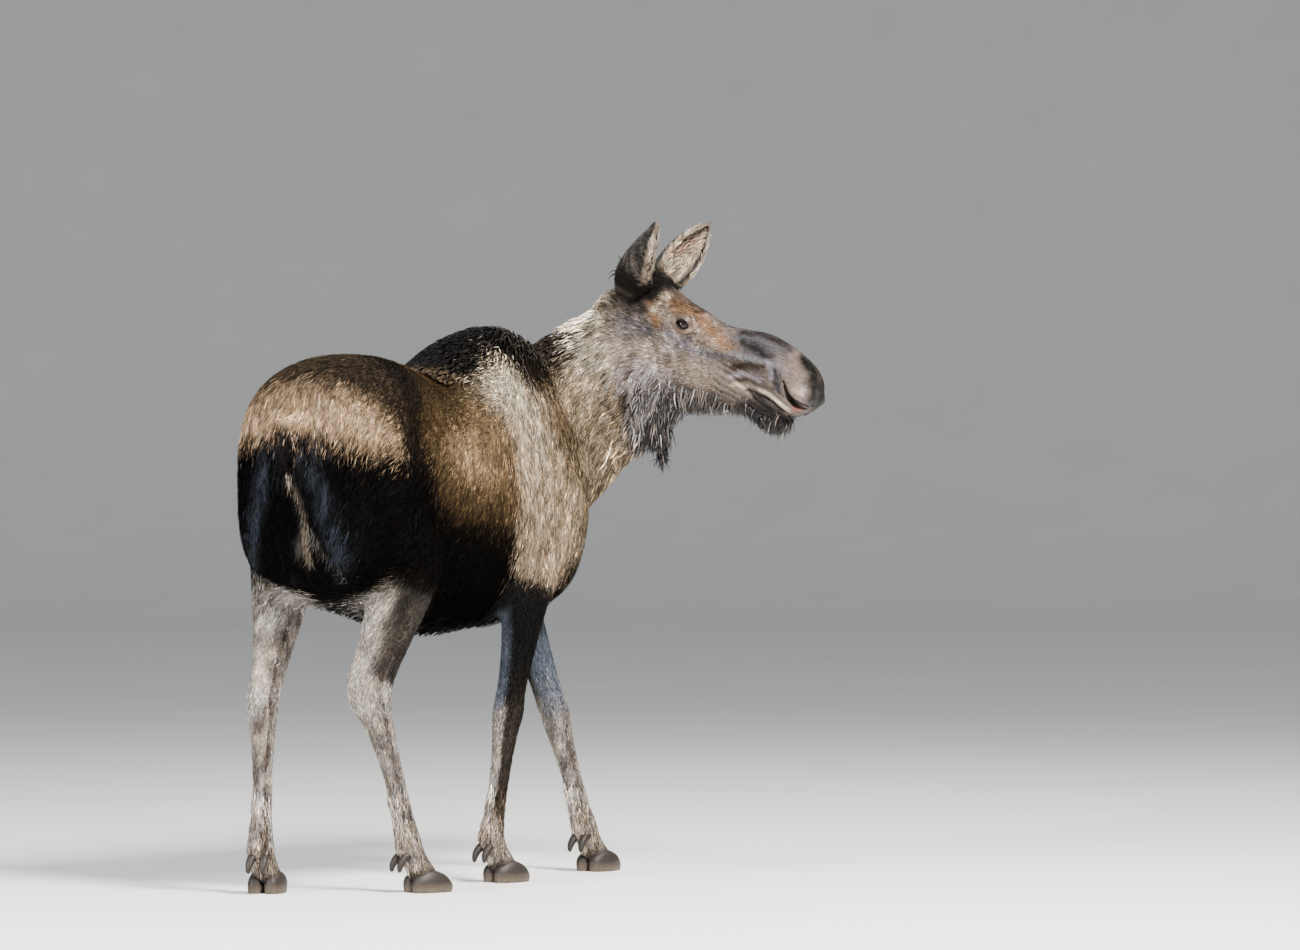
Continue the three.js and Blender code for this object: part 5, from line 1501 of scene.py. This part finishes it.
def eyeball(side, name):
    """A ball whose radius grows over the iris by swelling * exp(-(angle from the outward way / 0.55)^2)."""
    at, along, above, out = eye_frame(side)
    angle = (np.linspace(0, 1, 42)[1:-1] ** 1.15 * np.pi)[:, None]
    turn = (np.arange(72) / 72 * 2 * np.pi)[None, ::side]
    radius = BALL + SWELLING * np.exp(-(angle / 0.55) ** 2)
    u, v = np.sin(angle) * np.cos(turn) * radius, np.sin(angle) * np.sin(turn) * radius
    w = np.cos(angle) * radius + 0 * turn
    grid = at + u[..., None] * along + v[..., None] * above + w[..., None] * out
    p, q, t = closed(grid[::-1], at - out * BALL, at + out * (BALL + SWELLING))
    obj = made(name, p, q, t)
    x, y, z = dot(p - at, along), dot(p - at, above), dot(p - at, out)
    # distance from the middle in radii of the iris, and in half-sizes of the long pupil
    far = np.sqrt(x * x + y * y) / 14.5
    pupil = np.sqrt((x / 8.0) ** 2 + (y / 4.6) ** 2)
    fibres = cloud(np.stack([np.arctan2(y, x) * 30, far * 4, 0 * x], -1), 1.0)
    iris = mix(tone(30, 17, 11), tone(14, 9, 7), smooth(far, 0.5, 1.0)) * (0.75 + 0.5 * fibres)[:, None]
    colour = mix(iris, tone(8, 8, 12), 1 - smooth(pupil, 0.85, 1.1))
    colour = mix(colour, tone(40, 26, 20), smooth(far, 1.12, 1.3) * 0.8)
    return painted(obj, mix(colour, tone(8, 8, 12), z < 0))


# the section of a lid from its edge on the ball over the rim, out to the socket and back underneath:
# shares of its span outwards, and how far it lifts
LID_OUT = np.array([0, .04, .12, .24, .38, .55, .75, .95, 1.15, 1.3, 1.15, .8, .45, .2, .05])[:, None]
LID_LIFT = np.array([0, 1.2, 2.2, 2.5, 2.0, 1.0, 0.0, -1.2, -3.0, -6.5, -9, -9, -9, -7, -3])[:, None]
LID_SPAN, SOCKET = 17.6, 16.5


def eyelids(side, name):
    """A ring about the eye, with an almond for its opening and two folds in the lids."""
    at, along, above, out = eye_frame(side)
    turn = (np.arange(120) / 120 * 2 * np.pi)[None, ::side]
    c, s = np.cos(turn), np.sin(turn)
    upper = smooth(s, -0.1, 0.5)
    across = (17.4 + 2.6 * smooth(c, 0.55, 1.0)) * c
    up = np.where(s > 0, 12.6, 12.0) * np.sign(s) * np.abs(s) ** 1.12
    rim = np.sqrt(across ** 2 + up ** 2)
    radius = rim + LID_OUT * LID_SPAN
    over = np.sqrt(np.maximum(UNDER_LIDS ** 2 - rim ** 2, 30.0))
    settle = over + (SOCKET - over) * smooth(LID_OUT, 0.15, 1.1)
    fold = 1.2 * np.exp(-((LID_OUT - 0.62) / 0.07) ** 2) + 0.8 * np.exp(-((LID_OUT - 0.9) / 0.06) ** 2)
    height = settle + LID_LIFT * (1 + 0.35 * upper) - fold * (LID_OUT > 0) * (LID_LIFT > -3)
    grid = (at + (radius * across / rim)[..., None] * along + (radius * up / rim)[..., None] * above
            + height[..., None] * out)
    i, j = numbered(grid)
    quads = np.stack([i, j, np.roll(j, -1, axis=0), np.roll(i, -1, axis=0)], -1)
    obj = made(name, grid.reshape(-1, 3), quads)
    colour = mix(plain(tone(20, 15, 14), grid), tone(78, 64, 55), smooth(LID_OUT, 0.18, 0.5) + 0 * turn)
    colour = mix(colour, tone(128, 108, 98), 0.8 * (1 - upper) * smooth(LID_OUT, 0.2, 0.5))
    colour = mix(colour, tone(132, 112, 100), 0.6 * smooth(c, 0.8, 1.0) * smooth(LID_OUT, 0.1, 0.5))
    return painted(obj, colour.reshape(-1, 3), 0.3)


def lashes(name):
    """Rows of fine dark lashes that leave the upper lids and curl down and out."""
    each = 34
    found = []
    for side in (LEFT, RIGHT):
        at, along, above, out = eye_frame(side)
        turn = np.linspace(0.15, 0.92, each) * np.pi
        u, v = 18.4 * np.cos(turn), 13.6 * np.sin(turn)
        w = np.sqrt(UNDER_LIDS ** 2 - np.minimum(u * u + v * v, 560)) + 2.5
        root = at + u[:, None] * along + v[:, None] * above + w[:, None] * out
        normal = np.broadcast_to(unit(above + 0.2 * out), root.shape)
        found.append((root, normal, unit(0.9 * out + (u / 30)[:, None] * along - 0.15 * above)))
    at, normal, lie = (np.concatenate(both) for both in zip(*found))
    n = len(at)
    roots = Roots(np.random.default_rng(8), None, at=at, normal=normal, lie=lie, fall=np.full(n, 0.02),
                  colour=plain(tone(24, 20, 18), at), tips=np.zeros(n))
    return strands(name, roots, 13 + 4 * roots.draw.random(n), 1.5, 2.0, droop=1.0, rings=3,
                   unwrap=(np.arange(n) / n, np.full(n, 0.5)))


def hooves(name, table, caps, rings, sides):
    """Horn shells, two to a foot, swept from heel to toe or from root to tip."""
    parts = []
    for leg in LEGS.values():
        for side in (LEFT, RIGHT):
            f, s, z, wide, up, down = table
            yaw = leg.side * leg.toe_out
            shell = Loft(leg.foot(f, side * s, z), wide, up, down, 2.3, 2.6, yaw=yaw, caps=caps)
            parts.append(moved(shell.mesh(rings, sides, 6), in_trunk))
    p, q, t = merged(parts)
    p[:, 2] = np.maximum(p[:, 2], 0.0)
    return made(name, p, q, t)


# ------------------------------------------------------------------ stage
FLOOR_RADIUS, CURVE, FLOOR_START = 30000, 9000, 400


def studio():
    """A round floor that curves up far outside the view: a profile turned about the middle."""
    turn = (np.arange(96) / 96 * 2 * np.pi)[None, :]
    bend = np.linspace(0, 1, 16)[1:] * np.pi / 2
    flat = np.linspace(FLOOR_START, FLOOR_RADIUS, 16)
    far = np.concatenate([flat, FLOOR_RADIUS + CURVE * np.sin(bend)])[:, None]
    high = np.concatenate([0 * flat, CURVE * (1 - np.cos(bend))])[:, None]
    grid = np.stack([far * np.cos(turn), far * np.sin(turn), high + 0 * turn], -1)
    i, j = numbered(grid)
    quads = np.stack([i[:-1], i[1:], j[1:], j[:-1]], -1)
    middle = np.stack([np.full(i.shape[1], i.size), i[0], j[0]], -1)
    floor = made("studio", np.concatenate([grid.reshape(-1, 3), [[0, 0, 0]]]), quads, middle)
    floor.data.materials.append(studio_finish())


def light(name, azimuth, height, far, size, power, colour=(1, 1, 1)):
    """A square lamp that looks at the animal's middle, from degrees round it and above it and metres off."""
    lamp = bpy.data.lights.new(name, "AREA")
    lamp.shape, lamp.size, lamp.energy, lamp.color = "SQUARE", size, power, colour
    obj = bpy.data.objects.new(name, lamp)
    a, h = math.radians(azimuth), math.radians(height)
    away = np.array([math.cos(a) * math.cos(h), math.sin(a) * math.cos(h), math.sin(h)])
    obj.location = np.array([0, 0, 1.1]) + away * far
    side = unit(np.cross(UP, away))
    obj.rotation_euler = Matrix(np.stack([side, np.cross(away, side), away], 1).tolist()).to_euler()
    bpy.context.scene.collection.objects.link(obj)


# the frame's width, the lens's length and how far the frame is lowered, in the same units
FRAME_WIDTH, LENS, LOWERED = 1300, 6572, 47


def set_stage():
    """Floor, soft room light, four lamps and the camera."""
    studio()
    world = bpy.data.worlds.new("soft_room")
    world.use_nodes = True
    background = world.node_tree.nodes["Background"]
    background.inputs["Color"].default_value = (0.93, 0.96, 1.0, 1.0)
    background.inputs["Strength"].default_value = 0.55
    bpy.context.scene.world = world
    light("eye_light", 168, 12, 6.0, 1.3, 520)
    light("key", -112, 46, 7.0, 2.0, 2700, (1.0, 0.965, 0.91))
    light("fill", 176, 24, 9.0, 5.0, 130, (0.9, 0.95, 1.0))
    light("rim", 20, 50, 8.0, 4.0, 420, (0.92, 0.96, 1.0))
    camera = bpy.data.cameras.new("camera")
    camera.sensor_width = 36.0
    camera.lens = camera.sensor_width * LENS / FRAME_WIDTH
    camera.shift_y = -LOWERED / FRAME_WIDTH
    camera.clip_end = 200.0
    obj = bpy.data.objects.new("camera", camera)
    obj.location = (-17.3833, -12.6587, 1.5)
    obj.rotation_euler = (math.radians(90), 0.0, math.radians(-55))
    bpy.context.scene.collection.objects.link(obj)
    bpy.context.scene.camera = obj


# ------------------------------------------------------------------ the animal, piece by piece
def finished(obj, material, slot, *nodes):
    """Gives a piece its material and body and hides the nodes it stands in for; the slot is not used."""
    obj.data.materials.clear()
    obj.data.materials.append(material)
    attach(obj, "root")
    if nodes:
        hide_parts(*nodes)
    return obj


def density(at, normal):
    """Tufts per square millimetre over the skin: sparse on the trunk, close on the face and feet."""
    d = mix(1 / 25.0, 1 / 24.0, at.on_leg)
    d = mix(d, mix(1 / 20.0, 1 / 11.0, smooth(at.head[:, 0], 60, 260)), at.on_head)
    d = mix(d, 1 / 14.0, at.on_ear)
    nose = spot(at.face, (684, -62, 66), (64, 44, 40))
    eye = spot(at.face[:, :2], EYE_AT[:2], (28, 23)) * at.on_head * (1 - at.on_ear)
    return d * (1 - np.maximum(nose, eye))


# x where the trunk's coat is parted, the height below which all is leg, and a where the cheek ends
RUMP_END, FLANK_END, SHOULDER_END, LEG_TOP, CHEEK_END = 230, 760, 1200, 700, 210


def coat_areas(at):
    """The parts of the coat by name, each with which roots it takes."""
    x, y, z = at.body.T
    ear = at.on_ear > 0.5
    head = (at.on_head > 0.5) & ~ear
    leg = ((at.on_leg > 0.5) | (z < LEG_TOP)) & ~head & ~ear
    trunk = ~(head | ear | leg)
    areas = {"coat_rump": trunk & (x < RUMP_END)}
    for part, start, end in (("flank", RUMP_END, FLANK_END), ("shoulder", FLANK_END, SHOULDER_END),
                             ("neck", SHOULDER_END, math.inf)):
        here = trunk & (x >= start) & (x < end)
        areas[f"coat_{part}_left"], areas[f"coat_{part}_right"] = here & (y > 0), here & (y <= 0)
    areas["coat_hind_legs"], areas["coat_fore_legs"] = leg & at.hind, leg & ~at.hind
    cheek = at.head[:, 0] < CHEEK_END
    areas["coat_cheeks"], areas["coat_face"], areas["coat_ears"] = head & cheek, head & ~cheek, ear
    return areas


def coat(hide):
    """Short tufts over the whole skin."""
    roots = grown(hide, density, 17)
    hair = coat_finish("coat_hair", 0.72, 0.03)
    short = coat_finish("short_hair", 0.62, 0.08)
    lining = coat_finish("ear_hair", 0.7, 0.3)
    for name, keep in coat_areas(roots.places).items():
        r = roots.only(keep)
        luck = r.draw.random(len(r.at))
        bold = (luck > 0.7) * 1.0
        slot = "coat"
        if name == "coat_ears":
            long, wide, rise, unwrap, finish, slot = 12 + 7 * luck, 2.4, 2.0, ear_unwrap, lining, "ear_fur"
        elif name in ("coat_face", "coat_cheeks"):
            ahead = smooth(r.places.head[:, 0], 60, 480)
            long = mix(20 + 10 * luck, 9 + 6 * luck, ahead)
            wide = mix(2.9 + 1.2 * bold, 1.9 + 0.9 * bold, ahead)
            rise = mix(3.6 + bold, 1.2 + 0.6 * bold, ahead)
            unwrap, finish = head_unwrap, short
        elif name.endswith("legs"):
            long, wide, rise = 15 + 8 * luck, 2.9 + 1.8 * bold, 2.4 + 1.2 * bold
            unwrap, finish = leg_unwrap, short
        else:
            mane = band(r.places.body[:, 0], 900, 1500, 100)
            long, wide = 22 + 14 * luck + 8 * mane, 3.2 + 1.5 * bold
            rise = 5.5 + 3.5 * mane + 3 * luck + bold
            unwrap, finish = body_unwrap, hair
        obj = strands(name, r, long, wide, rise, wave=1.0, rings=1, unwrap=unwrap(r.places))
        finished(obj, finish, slot)


LOCKS = {
    # square mm to a lock, and where they grow; length, width, rise, droop; hang, wave; seed
    "mane_hump": (
        80, lambda at, n: band(at.body[:, 0], 660, 1330, 40) * smooth(n[:, 2], 0.45, 0.8)
        * (at.body[:, 2] > 1640), 44, 5.0, 18, 3, 0.0, 0.9, 41),
    "mane_crest": (
        60, lambda at, n: band(at.body[:, 0], 1300, 1640, 30) * smooth(n[:, 2], 0.45, 0.8)
        * (1 - at.on_ear) * (at.head[:, 0] < 0) * (at.body[:, 2] > 1700), 50, 4.6, 27, 2, 0.0, 1.0, 42),
    "throat_hair": (
        240, lambda at, n: band(at.body[:, 0], 1280, 1600, 60) * smooth(-n[:, 2], 0.1, 0.6)
        * (at.head[:, 1] < -90) * (at.q[:, 2] > 1180), 38, 4.6, 7, 6, 0.3, 1.2, 43),
    "jaw_strands": (
        38, lambda at, n: at.on_head * smooth(-at.head[:, 1] - 0.16 * at.head[:, 0], 120, 165)
        * band(at.head[:, 0], 180, 480, 40) * (1 - at.on_bell), 50, 2.7, 3.6, 6, 0.6, 1.5, 44),
    "jaw_fringe": (
        95, lambda at, n: at.on_head * smooth(-n[:, 2], 0.25, 0.6) * (1 - at.on_bell)
        * band(at.head[:, 0], 130, 440, 30) * (at.head[:, 1] < -150), 40, 4.4, 12, 24, 0.8, 1.4, 45),
    "bell_hair": (26, lambda at, n: at.on_bell, 64, 5.5, 1.5, 0, 1.0, 0.7, 46),
    "chin_hair": (
        36, lambda at, n: at.on_head * smooth(-n[:, 2], 0.0, 0.5) * band(at.head[:, 0], 490, 670, 25)
        * (at.head[:, 1] < -118), 42, 3.2, 9, 14, 0.7, 1.5, 47),
    "tail_hair": (55, lambda at, n: at.on_tail, 50, 6.0, 5, 8, 0.8, 1.4, 48),
    "foot_hair": (
        18, lambda at, n: at.on_leg * band(at.bone + at.hind, 3.66, 4.3, 0.1)
        * smooth(-n[:, 0], -0.2, 0.5), 42, 4.0, 6, 4, 0.6, 1.2, 51),
    "belly_fringe": (
        420, lambda at, n: (at.on_head < 0.1) * smooth(-n[:, 2], 0.75, 0.95)
        * band(at.body[:, 0], 200, 1340, 40) * (at.q[:, 2] > 760), 42, 6.5, 9, 12, 0.2, 1.3, 49),
    "ear_tufts": (
        46, lambda at, n: at.on_ear * band(at.ear_t, 0.12, 0.8, 0.1) * smooth(into_ear(at, n), 0.1, 0.4),
        30, 2.6, 9, 0, 0.0, 1.5, 50),
}
WET_AND_SHINE = {
    # share of the locks painted with a silver highlight, and how strong it is; all of them take the wet
    # finish
    "jaw_strands": (0.3, 0.65), "jaw_fringe": (0.3, 0.65), "bell_hair": (0.3, 0.16), "chin_hair": (0.1, 0.65),
}


def locks(hide):
    """Longer hair where it grows, each kind with its own length, droop and wave."""
    dry = coat_finish("long_hair", 0.62, 0.08)
    wet = coat_finish("wet_hair", 0.36, 0.5)
    for name, (each, where, long, wide, rise, droop, hang, wave, seed) in LOCKS.items():
        r = grown(hide, lambda at, n: where(at, n) / each, seed, hang, 0.5)
        luck = r.draw.random(len(r.at))
        finish, unwrap, slot = dry, body_unwrap, "coat"
        if name in WET_AND_SHINE:
            often, painted_shine = WET_AND_SHINE[name]
            painted_shine = painted_shine * (r.draw.random(len(r.at)) < often)
            # painted highlight: the locks darkened, and some painted silver where wet hair catches the light
            r.colour = mix(r.colour * 0.3, tone(160, 152, 152), painted_shine)
            finish, unwrap = wet, head_unwrap
        elif name == "ear_tufts":
            unwrap, slot = ear_unwrap, "ear_fur"
        obj = strands(name, r, long * (0.65 + 0.6 * luck), wide * (0.7 + 0.6 * luck), rise, droop, wave, 4,
                      unwrap(r.places))
        finished(obj, finish, slot)


def dressed():
    """Skin, coat, locks, eyes and hooves, each in place of the nodes it shows."""
    nodes = list(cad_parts)
    skin = whole_skin()
    skin.name = "skin"
    at = Places(points_of(skin.data))
    colour, _ = markings(at, normals_of(skin.data))
    nose = spot(at.face, (706, -60, 60), (60, 54, 60))
    lips = spot(at.face, (600, -98, 64), (120, 20, 50))
    eyes = spot(at.face[:, :2], EYE_AT[:2], (42, 36))
    painted(skin, colour, np.maximum.reduce([nose, lips, eyes]) * at.on_head * (1 - at.on_ear))
    finished(skin, skin_finish(), "coat", *[n for n in nodes if not ("claw" in n or "eye" in n)])
    hide = Hide(skin.data)
    coat(hide)
    locks(hide)
    eye, lid, horn = eye_finish(), skin_finish(), horn_finish()
    for side, word in ((LEFT, "left"), (RIGHT, "right")):
        finished(eyeball(side, "eyeball_" + word), eye, "eye", "eye_" + word)
        finished(eyelids(side, "eyelids_" + word), lid, "coat")
    finished(lashes("eyelashes"), coat_finish("lash_hair", 0.5, 0.4), "coat")
    claws = hooves("hoof_claws", CLAW, (14, 10), 44, 40)
    finished(claws, horn, "horn", *[n for n in nodes if "_claw_" in n])
    dew = hooves("dewclaws", DEWCLAW, (8, 8), 24, 24)
    finished(dew, horn, "horn", *[n for n in nodes if "_dewclaw_" in n])


set_stage()
dressed()
